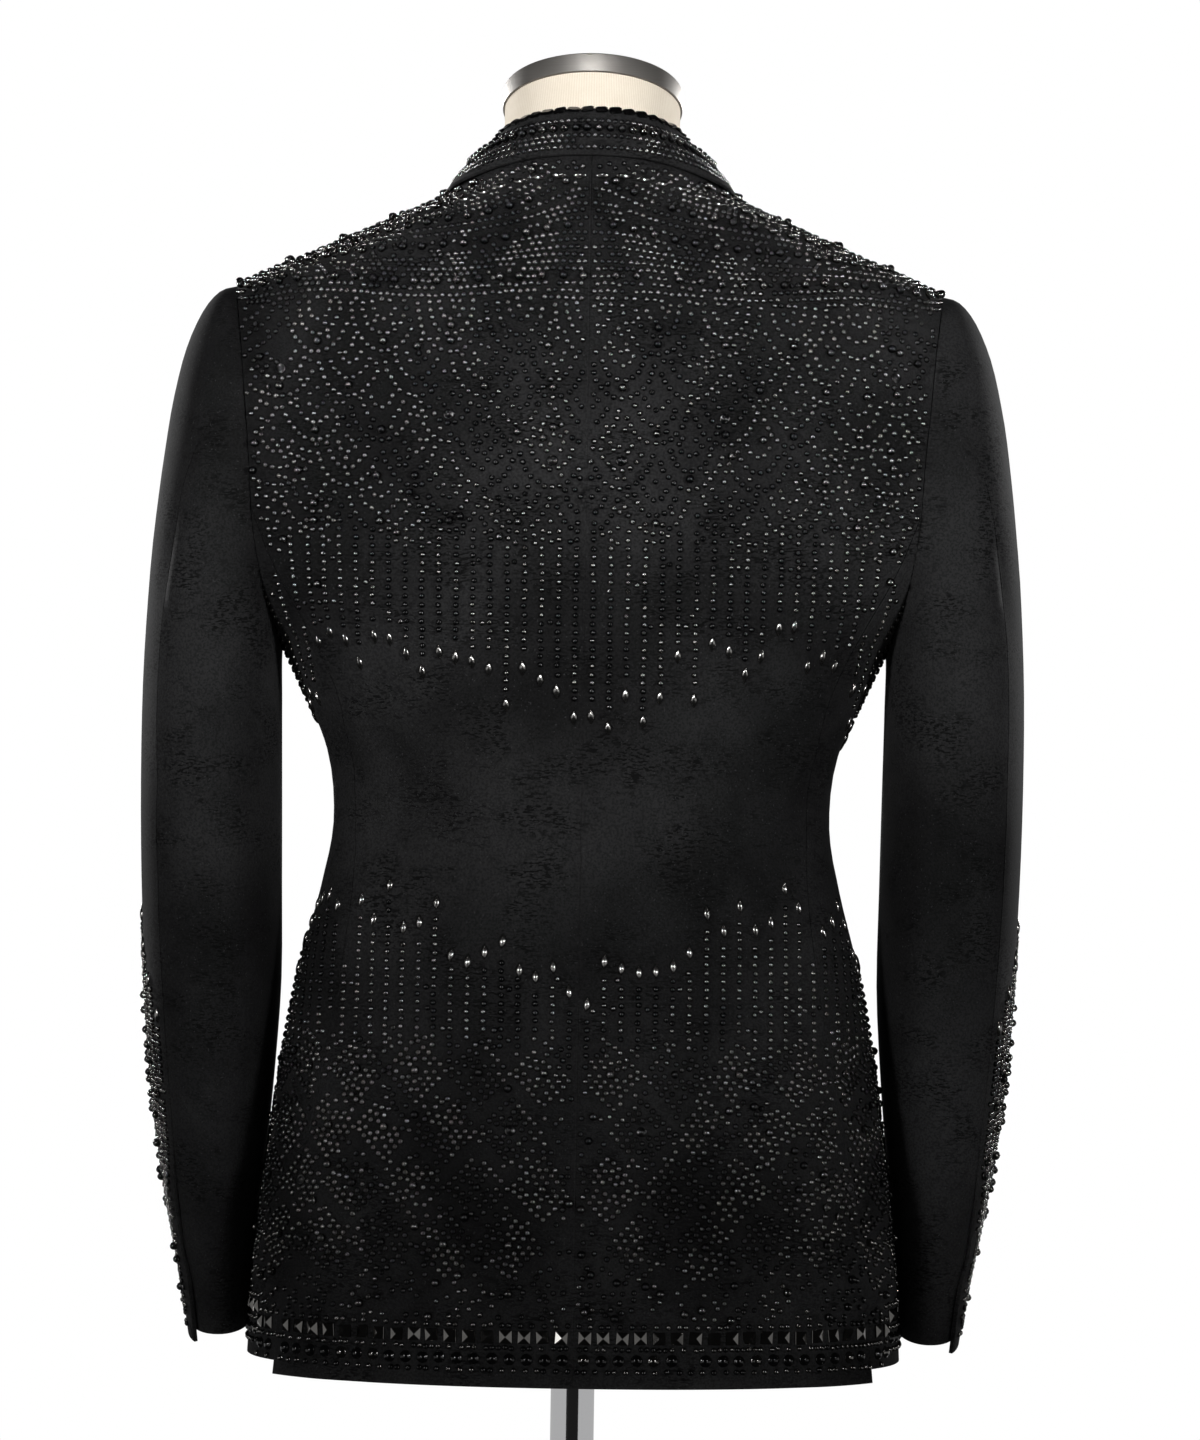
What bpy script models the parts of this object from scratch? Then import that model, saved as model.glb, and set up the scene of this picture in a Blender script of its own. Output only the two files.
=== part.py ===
# Tuxedo jacket on a limbless dress form, in metres, +Z up.
# The jacket's front faces -Y, the wearer's left is +X and the stand's foot is at z = 0.
# Angles round the body run from centre back (0) past the side (90 degrees) to centre front (180).

import math

import bpy
from mathutils import Vector

# Cloth
CLOTH = 0.0020              # wall of suiting, canvas and lining together
SEAM = 0.0003               # gap between pieces sewn edge to edge
LAP = CLOTH + 0.0008        # how far one cloth lies outside another that it laps over

# Heights on the jacket
BACK_HEM = 0.784
SIDE_HEM = 0.792
FRONT_HEM = 0.776
VENT_TOP = 0.900            # side vents run from here to the hem
ARM_BOTTOM = 1.232
ARM_TOP = 1.451             # shoulder point
NECK_BACK = 1.538           # neck seam at centre back
NECK_SIDE_DROP = 0.018      # the neck seam is this much lower at the side of the neck

# Armhole, seen from the side
ARM_BACK_Y = 0.074
ARM_FRONT_Y = -0.070
ARM_ROUND = 2.2
ARM_STATIONS = 24
ARM_STEP = 360 / ARM_STATIONS
BACK_SEAM_STATION = -15     # degrees below the armhole's middle where the side-back seam starts
FRONT_SEAM_STATION = -150   # where the side-front seam starts
SLEEVE_SEAM_STATION = 15    # both sleeve seams start this far above the armhole's middle

# Vents and laps
VENT_UNDERLAP = 0.018
UNDERLAP_RADIUS = 0.16      # of the body at the vents
VENT_LIFT_REACH = 0.050
VENT_FADE = 0.030
FRONT_OVERLAP = 0.018       # how far the left front passes the centre
INSET_CLEAR = 0.006         # the right front keeps its full inset this far past the overlap
INSET_FADE = 0.040          # and comes out to the left front's level over this width
FRONT_DROP_FROM = 0.860     # below this the fronts' rows dip towards their rounded corners
FRONT_DROP_BY = 1.6         # the dip is reached by one part in this of the panel's width
CUFF_VENT_TOP = 0.890
CUFF_VENT_LAP = 0.006
CUFF_FLAP_DROP = 0.006      # the top sleeve's flap hangs lower than the under sleeve
CUFF_LIFT_START = 45        # degrees from the sleeve's outer edge where the flap starts to stand out
CUFF_LIFT_FADE = 20
CUFF_DROP_START = 30
CUFF_DROP_FADE = 45

# Stand
NECK_RADIUS = 0.0545
NECK_TILT = math.radians(21)
NECK_TOP = Vector((0.0, -0.006, 1.5630))
CAP_THICKNESS = 0.0125
CAP_OVERHANG = 0.0012
CAP_BEVEL = 0.0010
POLE_RADIUS = 0.0135
BASE_RADIUS = 0.190
BASE_EDGE = 0.008
BASE_RISE = 0.006
BASE_MIDDLE = (0.55, 0.004) # share of the radius where the top bends, and its rise there
BASE_CROWN = 0.20           # share of the radius that is flat round the pole
FORM_BOTTOM = 0.900
FORM_REST = 0.0011          # gap between the form and the cloth that rests on it
GAP = 0.0003                # gap between parts that touch

# Button
BUTTON_RADIUS = 0.0105
BUTTON_THICKNESS = 0.0038
BUTTON_HEIGHT = 1.140
BUTTON_LAY = 0.0009         # gap from the front to the button's back
BUTTON_STEPS = ((0.0, 0.60), (0.0006, 1.0), (0.0024, 1.0), (0.0034, 0.80), (BUTTON_THICKNESS, 0.45))


def named_rows(columns, *rows):
    names = columns.split()
    return [dict(zip(names, row)) for row in rows]


# Jacket sections: half width, back and front depth from the pole's axis, where it is widest, and
# how square the back and front halves are (2 is an ellipse).
BODY = named_rows(
    "height half   back    front   middle  squareBack squareFront",
    (0.770, 0.2030, 0.1310, -0.1340, 0.0000, 2.25, 2.20),
    (0.850, 0.1985, 0.1280, -0.1310, 0.0000, 2.25, 2.20),
    (0.930, 0.1890, 0.1200, -0.1270, 0.0000, 2.25, 2.20),
    (0.985, 0.1815, 0.1110, -0.1240, 0.0000, 2.25, 2.20),
    (1.036, 0.1720, 0.1010, -0.1210, 0.0000, 2.25, 2.20),
    (1.085, 0.1597, 0.0915, -0.1180, 0.0000, 2.25, 2.20),
    (1.123, 0.1537, 0.0870, -0.1165, 0.0000, 2.25, 2.20),
    (1.160, 0.1570, 0.0890, -0.1170, 0.0000, 2.25, 2.20),
    (1.209, 0.1770, 0.0990, -0.1190, -0.0010, 2.27, 2.22),
    (1.232, 0.1880, 0.1035, -0.1200, -0.0020, 2.30, 2.25),
    (1.290, 0.2000, 0.1110, -0.1215, -0.0030, 2.32, 2.28),
    (1.340, 0.2080, 0.1135, -0.1200, -0.0040, 2.34, 2.30),
    (1.390, 0.2140, 0.1100, -0.1140, -0.0040, 2.36, 2.32),
    (1.430, 0.2175, 0.1010, -0.1020, -0.0040, 2.38, 2.34),
    (1.451, 0.2180, 0.0935, -0.0925, -0.0040, 2.40, 2.35),
    (1.458, 0.2045, 0.0908, -0.0890, -0.0038, 2.40, 2.35),
    (1.470, 0.1760, 0.0862, -0.0830, -0.0034, 2.38, 2.33),
    (1.482, 0.1485, 0.0816, -0.0770, -0.0028, 2.34, 2.28),
    (1.494, 0.1215, 0.0770, -0.0700, -0.0020, 2.28, 2.22),
    (1.504, 0.0995, 0.0734, -0.0640, -0.0010, 2.20, 2.15),
    (1.513, 0.0840, 0.0703, -0.0600, 0.0000, 2.12, 2.08),
    (1.524, 0.0735, 0.0670, -0.0570, 0.0000, 2.06, 2.04),
    (1.540, 0.0670, 0.0635, -0.0540, 0.0000, 2.00, 2.00),
)

# Half width of the body where the armhole is cut, at the back and at the front.
ARMHOLE = named_rows(
    "height backX  frontX",
    (1.232, 0.1880, 0.1880),
    (1.262, 0.1965, 0.1870),
    (1.303, 0.2035, 0.1865),
    (1.342, 0.2060, 0.1885),
    (1.380, 0.2095, 0.1935),
    (1.420, 0.2135, 0.2040),
    (1.440, 0.2165, 0.2125),
    (1.451, 0.2180, 0.2180),
)

# Seams, by their distance from the centre line. The top end is where each meets the armhole.
SIDE_BACK_SEAM = named_rows(
    "height x",
    (0.770, 0.1825),
    (0.900, 0.1690),
    (0.970, 0.1560),
    (1.038, 0.1445),
    (1.080, 0.1395),
    (1.123, 0.1385),
    (1.170, 0.1435),
    (1.210, 0.1550),
    (1.245, 0.1725),
    (1.275, 0.1890),
)
SIDE_FRONT_SEAM = named_rows(
    "height x",
    (0.770, 0.1760),
    (0.930, 0.1640),
    (1.036, 0.1480),
    (1.123, 0.1340),
    (1.180, 0.1440),
    (1.225, 0.1640),
)

# Front edge of the left front, by its distance from the centre line; past the centre it is negative.
FRONT_EDGE = named_rows(
    "height x",
    (0.770, 0.0900),
    (0.780, 0.0700),
    (0.800, 0.0430),
    (0.830, 0.0210),
    (0.880, 0.0030),
    (0.950, -0.0090),
    (1.040, -0.0160),
    (1.123, -0.0180),
    (1.165, -0.0180),
    (1.230, -0.0060),
    (1.330, 0.0170),
    (1.430, 0.0430),
    (1.490, 0.0630),
    (1.522, 0.0690),
)

# Sleeve rings: outer and inner edge seen from behind, back and front reach, how much lower the back
# is than the middle, and the angles of the two seams from the ring's outer edge.
SLEEVE = named_rows(
    "outX   outZ    inX     inZ     back    front   slope  backSeam frontSeam",
    (0.2180, 1.4510, 0.1880, 1.2320, 0.0740, -0.0700, 0.000, 75, 75),
    (0.2290, 1.4475, 0.1878, 1.2285, 0.0750, -0.0715, 0.000, 72, 75),
    (0.2395, 1.4345, 0.1876, 1.2250, 0.0755, -0.0730, 0.000, 68, 75),
    (0.2490, 1.4120, 0.1875, 1.2215, 0.0757, -0.0740, 0.000, 64, 74),
    (0.2560, 1.3830, 0.1874, 1.2175, 0.0755, -0.0750, 0.000, 59, 73),
    (0.2620, 1.3480, 0.1873, 1.2130, 0.0750, -0.0757, 0.000, 54, 72),
    (0.2668, 1.3070, 0.1872, 1.2070, 0.0740, -0.0762, 0.000, 50, 71),
    (0.2705, 1.2580, 0.1870, 1.1970, 0.0725, -0.0767, 0.000, 47, 70),
    (0.2730, 1.2050, 0.1868, 1.1780, 0.0705, -0.0770, 0.000, 46, 69),
    (0.2735, 1.1450, 0.1862, 1.1350, 0.0670, -0.0780, 0.000, 46, 68),
    (0.2725, 1.0850, 0.1856, 1.0800, 0.0615, -0.0800, 0.010, 47, 67),
    (0.2700, 1.0250, 0.1852, 1.0220, 0.0540, -0.0830, 0.020, 49, 66),
    (0.2660, 0.9700, 0.1884, 0.9700, 0.0450, -0.0860, 0.040, 51, 65),
    (0.2605, 0.9200, 0.1928, 0.9200, 0.0350, -0.0895, 0.060, 52, 64),
    (0.2540, 0.8800, 0.1966, 0.8800, 0.0260, -0.0925, 0.080, 51, 63),
    (0.2470, 0.8430, 0.1992, 0.8430, 0.0165, -0.0955, 0.100, 49, 62),
    (0.2405, 0.8080, 0.2010, 0.8080, 0.0080, -0.0985, 0.120, 46, 61),
)
SLEEVE_ROUND = 2.15
SLEEVE_LAST = len(SLEEVE) - 1
HEAD_FADE_ROWS = 5          # over these rings the sleeve's head leaves the armhole's own curve
HEAD_STEP = 0.15            # of a ring, to find which way the sleeve leaves the armhole

# Dress form sections below the shoulders, inside the jacket.
FORM = named_rows(
    "height half   back    front   square",
    (0.915, 0.1480, 0.0880, -0.0860, 2.15),
    (0.960, 0.1560, 0.0960, -0.0950, 2.15),
    (1.010, 0.1560, 0.0920, -0.0960, 2.15),
    (1.070, 0.1440, 0.0810, -0.0940, 2.15),
    (1.123, 0.1375, 0.0765, -0.0950, 2.15),
    (1.170, 0.1420, 0.0800, -0.1000, 2.15),
    (1.232, 0.1600, 0.0930, -0.1080, 2.20),
    (1.300, 0.1760, 0.1030, -0.1110, 2.25),
    (1.360, 0.1890, 0.1060, -0.1080, 2.30),
    (1.400, 0.1970, 0.1030, -0.1020, 2.35),
    (1.428, 0.1950, 0.0915, -0.0920, 2.34),
)
FORM_MIDDLE = -0.002        # depth where the form is widest
FORM_UNDERSIDE = ((0.70, 0.0), (0.90, 0.004))   # share of the lowest section, and rise
FORM_SEGMENTS = 40

# Neck of the form: its rings lean until they are square to the neck.
NECK = named_rows(
    "height  middle   radius  tilt",
    (1.5160, 0.0035, 0.0585, 0.35),
    (1.5300, 0.0005, 0.0560, 0.60),
    (1.5470, -0.0030, NECK_RADIUS, 0.85),
    (NECK_TOP.z, NECK_TOP.y, NECK_RADIUS, 1.00),
)
SHOULDER_END = 0.207        # the form's shoulders stop short of the sleeves
SHOULDER_END_EASE = 0.0014  # extra room inside the jacket at the shoulders' ends
SHOULDER_EASE_RISE = 0.025  # which is gone this far above them
SHOULDER_BEND = 0.017       # width over which the shoulders round off to their ends
SHOULDER_RINGS = (1.446, 1.4515, 1.457, 1.464, 1.472, 1.481, 1.490, 1.499, 1.507)


def along(rows, key, value, column):
    """Smooth value of one column of a table, at a value of its key column."""
    keys = [row[key] for row in rows]
    values = [row[column] for row in rows]
    last = len(rows) - 1
    if value <= keys[0]:
        return values[0]
    if value >= keys[last]:
        return values[last]
    low = max(i for i in range(last) if keys[i] <= value)
    steps = [keys[i + 1] - keys[i] for i in range(last)]
    slopes = [(values[i + 1] - values[i]) / steps[i] for i in range(last)]

    def tangent(i):
        if i == 0:
            return slopes[0]
        if i == last:
            return slopes[last - 1]
        weighted = slopes[i - 1] * steps[i] + slopes[i] * steps[i - 1]
        return weighted / (steps[i - 1] + steps[i])

    step = steps[low]
    t = (value - keys[low]) / step
    start = (2 * t**3 - 3 * t**2 + 1) * values[low] + (t**3 - 2 * t**2 + t) * step * tangent(low)
    end = (3 * t**2 - 2 * t**3) * values[low + 1] + (t**3 - t**2) * step * tangent(low + 1)
    return start + end


def at_height(rows, height, column):
    return along(rows, "height", height, column)


def ease(t):
    """0 to 1 with level ends."""
    t = min(1.0, max(0.0, t))
    return t * t * (3 - 2 * t)


def blend(a, b, t):
    return a + (b - a) * t


def rounded(angle, square):
    """Cosine and sine of an angle on a squared circle of radius 1."""
    c = math.cos(angle)
    s = math.sin(angle)
    radius = (abs(c)**square + abs(s)**square) ** (-1 / square)
    return c * radius, s * radius


# The body's surface ---------------------------------------------------------------------------

def armhole_reach(height):
    """Share, 0 to 1, of the armhole's full depth that is open at a height."""
    middle = (ARM_TOP + ARM_BOTTOM) / 2
    share = abs(height - middle) / (ARM_TOP - middle)
    return max(0.0, 1 - min(1.0, share) ** ARM_ROUND) ** (1 / ARM_ROUND)


def body_cut(height, front):
    """Half width, depth and squareness of the jacket's back or front half at a height."""
    middle = at_height(BODY, height, "middle")
    face = at_height(BODY, height, "front" if front else "back")
    square = at_height(BODY, height, "squareFront" if front else "squareBack")
    depth = abs(face - middle)
    half = at_height(BODY, height, "half")
    if ARM_BOTTOM < height < ARM_TOP:
        edge = ARM_FRONT_Y if front else ARM_BACK_Y
        share = abs(edge - middle) * armhole_reach(height) / depth
        edge_x = at_height(ARMHOLE, height, "frontX" if front else "backX")
        half = edge_x / (1 - share**square) ** (1 / square)
    return half, depth, middle, square


def body_point(angle, height):
    front = math.cos(angle) < 0
    half, depth, middle, square = body_cut(height, front)
    c, s = rounded(angle, square)
    return Vector((half * s, middle + depth * c, height))


def angle_at(x, height, front):
    """Angle of the point of a half section that lies x from the centre line."""
    half, depth, middle, square = body_cut(height, front)
    share = max(-1.0, min(1.0, x / half))
    other = (1 - abs(share)**square) ** (1 / square)
    return math.atan2(share, -other if front else other) % (2 * math.pi)


def armhole_angle(height, front):
    half, depth, middle, square = body_cut(height, front)
    edge = ARM_FRONT_Y if front else ARM_BACK_Y
    share = abs(edge - middle) * armhole_reach(height) / depth
    other = (1 - share**square) ** (1 / square)
    return math.atan2(other, -share if front else share)


def body_normal(angle, height):
    small = 0.0005
    turn = 0.004
    up = body_point(angle, height + small) - body_point(angle, height - small)
    round_ = body_point(angle + turn, height) - body_point(angle - turn, height)
    return up.cross(round_).normalized()


def station_height(degrees):
    """Height of a point of the armhole, by its angle above the armhole's middle."""
    middle = (ARM_TOP + ARM_BOTTOM) / 2
    c, s = rounded(math.radians(degrees), ARM_ROUND)
    return middle + (ARM_TOP - middle) * s


def seam_angle(rows, height, front, station):
    """Angle round the body of a side seam, which ends at a station of the armhole."""
    top = station_height(station)
    top_angle = armhole_angle(top, front)
    top_x = body_point(top_angle, top).x
    closed = rows + [{"height": top, "x": top_x}]
    return angle_at(at_height(closed, height, "x"), height, front)


# Meshes ---------------------------------------------------------------------------------------

def finish(name, points, faces, material, smooth=40):
    mesh = bpy.data.meshes.new(name)
    mesh.from_pydata([tuple(point) for point in points], [], faces)
    mesh.validate()
    mesh.shade_smooth()
    mesh.set_sharp_from_angle(angle=math.radians(smooth))
    mesh.materials.append(material)
    part = bpy.data.objects.new(name, mesh)
    bpy.context.collection.objects.link(part)
    return part


def wall(name, outer, normals, material, side, thickness=CLOTH):
    """Closed wall of cloth from a grid of outer points; side -1 mirrors it to the wearer's right."""
    outer = trimmed(outer)
    rows = len(outer)
    columns = len(outer[0])
    points = []
    for depth in (0.0, thickness):
        for r in range(rows):
            for c in range(columns):
                point = outer[r][c] - normals[r][c] * depth
                points.append(Vector((point.x * side, point.y, point.z)))
    back = rows * columns
    faces = []
    for r in range(rows - 1):
        for c in range(columns - 1):
            a = r * columns + c
            b = a + columns
            faces.append((a, b, b + 1, a + 1))
            faces.append((back + a, back + a + 1, back + b + 1, back + b))
    rim = [c for c in range(columns)]
    rim += [r * columns + columns - 1 for r in range(1, rows)]
    rim += [(rows - 1) * columns + c for c in range(columns - 2, -1, -1)]
    rim += [r * columns for r in range(rows - 2, 0, -1)]
    for a, b in zip(rim, rim[1:] + rim[:1]):
        faces.append((a, b, back + b, back + a))
    if side < 0:
        faces = [face[::-1] for face in faces]
    return finish(name, points, faces, material)


def trimmed(grid):
    """The grid with its four edges drawn in by half a seam gap."""
    rows = len(grid)
    columns = len(grid[0])
    result = [list(row) for row in grid]
    for r in range(rows):
        for c in (0, columns - 1):
            inner = grid[r][1 if c == 0 else columns - 2]
            result[r][c] = grid[r][c] + (inner - grid[r][c]).normalized() * SEAM / 2
    for c in range(columns):
        for r in (0, rows - 1):
            inner = grid[1 if r == 0 else rows - 2][c]
            result[r][c] = result[r][c] + (inner - grid[r][c]).normalized() * SEAM / 2
    return result


def lofted(name, rings, material, smooth=40):
    """Solid from rings of points, bottom to top, each counted from +X towards +Y; ends are filled."""
    count = len(rings[0])
    points = [point for ring in rings for point in ring]
    faces = [tuple(reversed(range(count)))]
    for r in range(len(rings) - 1):
        for c in range(count):
            a = r * count + c
            b = r * count + (c + 1) % count
            faces.append((a, b, b + count, a + count))
    faces.append(tuple((len(rings) - 1) * count + c for c in range(count)))
    return finish(name, points, faces, material, smooth)


def circle(center, radius, count=32, tilt=0.0):
    ring = []
    for i in range(count):
        turn = 2 * math.pi * i / count
        x = radius * math.cos(turn)
        y = radius * math.sin(turn)
        ring.append(center + Vector((x, y * math.cos(tilt), y * math.sin(tilt))))
    return ring


def finish_material(name, colour, roughness, metallic=0.0):
    material = bpy.data.materials.new(name)
    material.use_nodes = True
    shader = material.node_tree.nodes["Principled BSDF"]
    shader.inputs["Base Color"].default_value = (*colour, 1.0)
    shader.inputs["Roughness"].default_value = roughness
    shader.inputs["Metallic"].default_value = metallic
    return material


# Panels of the body ---------------------------------------------------------------------------

BACK_STATIONS = [BACK_SEAM_STATION + ARM_STEP * i for i in range(8)]
LOW_LEVELS = [0.802, 0.822, 0.850, 0.880, 0.900, 0.930, 0.965, 1.000, 1.036, 1.070, 1.100, 1.130, 1.165,
              1.205, 1.240, 1.272]
LEVEL_BEND = 1.165          # above this the side panel's rows climb to the armhole
SHOULDER_LEVELS = [1.456, 1.463, 1.471, 1.480, 1.489, 1.498, 1.506, 1.514, 1.523, NECK_BACK]
NECK_SLOPE_START = 1.500


def neck_height(level, angle):
    """Height of a row near the neck: it drops towards the side, as the neck seam does."""
    share = (level - NECK_SLOPE_START) / (NECK_BACK - NECK_SLOPE_START)
    if share <= 0:
        return level
    return level - NECK_SIDE_DROP * ease(share) * math.sin(angle) ** 2


def vent_lift(height, reach):
    """How far the back panel stands out over the side panel at a vent."""
    down = ease((VENT_TOP + VENT_FADE - height) / VENT_FADE)
    near = 1 - ease((reach - VENT_LIFT_REACH / 2) / (VENT_LIFT_REACH / 2))
    return LAP * down * near


def back_edge(height):
    if height < station_height(BACK_SEAM_STATION) - 1e-6:
        return seam_angle(SIDE_BACK_SEAM, height, False, BACK_SEAM_STATION)
    if height < ARM_TOP - 1e-6:
        return armhole_angle(height, False)
    return math.pi / 2


def back_panel(side, name, material):
    columns = 9
    levels = [BACK_HEM] + LOW_LEVELS
    levels += [station_height(station) for station in BACK_STATIONS] + SHOULDER_LEVELS
    grid = []
    normals = []
    for level in levels:
        edge = back_edge(level)
        edge_x = body_point(edge, level).x
        row = []
        row_normals = []
        for c in range(columns + 1):
            angle = edge * c / columns
            height = neck_height(level, angle)
            point = body_point(angle, height)
            normal = body_normal(angle, height)
            row.append(point + normal * vent_lift(height, edge_x - point.x))
            row_normals.append(normal)
        grid.append(row)
        normals.append(row_normals)
    return wall(name, grid, normals, material, side)


def side_height(level, top):
    """Height of a row of the side panel in a column that ends at a height on the armhole."""
    if level <= LEVEL_BEND:
        return level
    back_top = station_height(BACK_SEAM_STATION)
    return LEVEL_BEND + (level - LEVEL_BEND) * (top - LEVEL_BEND) / (back_top - LEVEL_BEND)


def side_panel(side, name, material):
    count = round((BACK_SEAM_STATION - FRONT_SEAM_STATION) / ARM_STEP)
    levels = [SIDE_HEM] + LOW_LEVELS + [station_height(BACK_SEAM_STATION)]
    last = len(levels) - 1
    grid = [[None] * (count + 1) for _ in levels]
    normals = [[None] * (count + 1) for _ in levels]
    for c in range(count + 1):
        station = BACK_SEAM_STATION - ARM_STEP * c
        top = station_height(station)
        top_angle = armhole_angle(top, station < -90)
        low_angles = side_seams(top)
        top_share = (top_angle - low_angles[0]) / (low_angles[1] - low_angles[0])
        for r, level in enumerate(levels):
            height = side_height(level, top)
            start, end = side_seams(height)
            share = blend(c / count, top_share, ease(r / last))
            angle = top_angle if r == last else blend(start, end, share)
            if c == 0:
                angle -= vent_underlap(height) / UNDERLAP_RADIUS
            grid[r][c] = body_point(angle, height)
            normals[r][c] = body_normal(angle, height)
    return wall(name, grid, normals, material, side)


def vent_underlap(height):
    return VENT_UNDERLAP * ease((VENT_TOP - height) / VENT_FADE)


def side_seams(height):
    back_top = station_height(BACK_SEAM_STATION)
    front_top = station_height(FRONT_SEAM_STATION)
    start = seam_angle(SIDE_BACK_SEAM, min(height, back_top), False, BACK_SEAM_STATION)
    end = seam_angle(SIDE_FRONT_SEAM, min(height, front_top), True, FRONT_SEAM_STATION)
    return start, end


def front_outer_edge(height):
    """Angle of the front panel's edge at the side, armhole or shoulder."""
    if height < station_height(FRONT_SEAM_STATION) - 1e-6:
        return seam_angle(SIDE_FRONT_SEAM, height, True, FRONT_SEAM_STATION)
    if height < ARM_TOP - 1e-6:
        return armhole_angle(height, True)
    return math.pi / 2


def front_inner_edge(height):
    """Angle of the front edge, or of the roll line above the break."""
    return angle_at(at_height(FRONT_EDGE, height, "x"), height, True)


def front_inset(x, height):
    """How far the right front lies inside the left one where they lap."""
    across = 1 - ease((x - FRONT_OVERLAP - INSET_CLEAR) / INSET_FADE)
    return LAP * across


def front_surface(angle, height, side):
    point = body_point(angle, height)
    normal = body_normal(angle, height)
    if side < 0:
        point = point - normal * front_inset(point.x, height)
    return point, normal


def front_levels():
    stations = [-150, -165, 180, 165, 150, 135, 120, 105, 90]
    top = station_height(FRONT_SEAM_STATION)
    low = [side_height(level, top) for level in LOW_LEVELS]
    return [FRONT_HEM, 0.788] + low + [station_height(station) for station in stations]


def front_panel(side, name, material):
    columns = 9
    levels = front_levels() + SHOULDER_LEVELS
    grid = []
    normals = []
    for level in levels:
        row = []
        row_normals = []
        for c in range(columns + 1):
            share = c / columns
            tall = level
            if level < FRONT_DROP_FROM:
                sink = (FRONT_DROP_FROM - level) / (FRONT_DROP_FROM - FRONT_HEM)
                tall = level + (SIDE_HEM - FRONT_HEM) * sink * (1 - ease(share * FRONT_DROP_BY))
            start = front_outer_edge(tall)
            height = neck_height(tall, start) if level > NECK_SLOPE_START else tall
            end = front_inner_edge(height)
            angle = blend(start, end, share)
            point, normal = front_surface(angle, height, side)
            row.append(point)
            row_normals.append(normal)
        grid.append(row)
        normals.append(row_normals)
    return wall(name, grid, normals, material, side)


# Sleeves --------------------------------------------------------------------------------------

def sleeve_row(t, column):
    rows = [dict(row, ring=i) for i, row in enumerate(SLEEVE)]
    return along(rows, "ring", t, column)


def armhole_point(station):
    height = station_height(station)
    front = math.cos(math.radians(station)) < -1e-9
    return body_point(armhole_angle(height, front), height)


def ring_point(t, turn):
    """Point of the plain sleeve ring t, at an angle from its outer edge towards the back."""
    out = Vector((sleeve_row(t, "outX"), 0, sleeve_row(t, "outZ")))
    inner = Vector((sleeve_row(t, "inX"), 0, sleeve_row(t, "inZ")))
    back = sleeve_row(t, "back")
    front = sleeve_row(t, "front")
    c, s = rounded(turn, SLEEVE_ROUND)
    point = (out + inner) / 2 + (out - inner) / 2 * c
    reach = (back - front) / 2 * s
    point.y = (back + front) / 2 + reach
    point.z -= sleeve_row(t, "slope") * reach
    return point


def sleeve_turn(t, turn):
    """Angle on ring t of the line that starts at an angle on the armhole, as the seams drift."""
    start = 90 - SLEEVE_SEAM_STATION
    back = sleeve_row(t, "backSeam")
    front = sleeve_row(t, "frontSeam")
    if turn <= start:
        return blend(-front, back, (turn + start) / (2 * start))
    return blend(back, 360 - front, (turn - start) / (360 - 2 * start))


def sleeve_point(t, turn):
    point = ring_point(t, math.radians(sleeve_turn(t, turn)))
    if t < HEAD_FADE_ROWS:
        station = 90 - turn
        lost = armhole_point(station) - ring_point(0, math.radians(turn))
        point += lost * (1 - ease(t / HEAD_FADE_ROWS))
    return point


def sleeve_normal(t, turn):
    small = 0.05
    low = max(0.0, t - small)
    high = min(float(SLEEVE_LAST), t + small)
    down = sleeve_point(high, turn) - sleeve_point(low, turn)
    round_ = sleeve_point(t, turn + 1.0) - sleeve_point(t, turn - 1.0)
    return down.cross(round_).normalized()


def cuff_lift(point, turn, top):
    """How far the top sleeve's flap stands out at the cuff vent."""
    if not top:
        return 0.0
    down = ease((CUFF_VENT_TOP + VENT_FADE - point.z) / VENT_FADE)
    return LAP * down * ease((turn - CUFF_LIFT_START) / CUFF_LIFT_FADE)


def sleeve_piece(side, name, material, top):
    seam = 90 - SLEEVE_SEAM_STATION
    turns = [-seam + ARM_STEP * i for i in range(round(2 * seam / ARM_STEP) + 1)]
    if not top:
        turns = [seam + ARM_STEP * i for i in range(round((360 - 2 * seam) / ARM_STEP) + 1)]
    grid = []
    normals = []
    for t in range(SLEEVE_LAST, -1, -1):
        row = []
        row_normals = []
        for turn in turns:
            point = sleeve_point(t, turn)
            normal = sleeve_normal(t, turn)
            lap = 0.0
            if top and turn == turns[-1]:
                lap = CUFF_VENT_LAP * ease((CUFF_VENT_TOP - VENT_FADE - point.z) / VENT_FADE)
            if lap:
                onward = (sleeve_point(t, turn + 2) - point).normalized()
                point = point + onward * lap
            point = point + normal * cuff_lift(point, turn, top)
            if top and t == SLEEVE_LAST:
                point.z -= CUFF_FLAP_DROP * ease((turn - CUFF_DROP_START) / CUFF_DROP_FADE)
            row.append(point)
            row_normals.append(normal)
        grid.append(row)
        normals.append(row_normals)
    head = [sleeve_point(HEAD_STEP, turn) - sleeve_point(0, turn) for turn in turns]
    grid[-1] = [point + step.normalized() * SEAM for point, step in zip(grid[-1], head)]
    return wall(name, [row[::-1] for row in grid], [row[::-1] for row in normals], material, side)


# Collar and lapels ----------------------------------------------------------------------------

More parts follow.
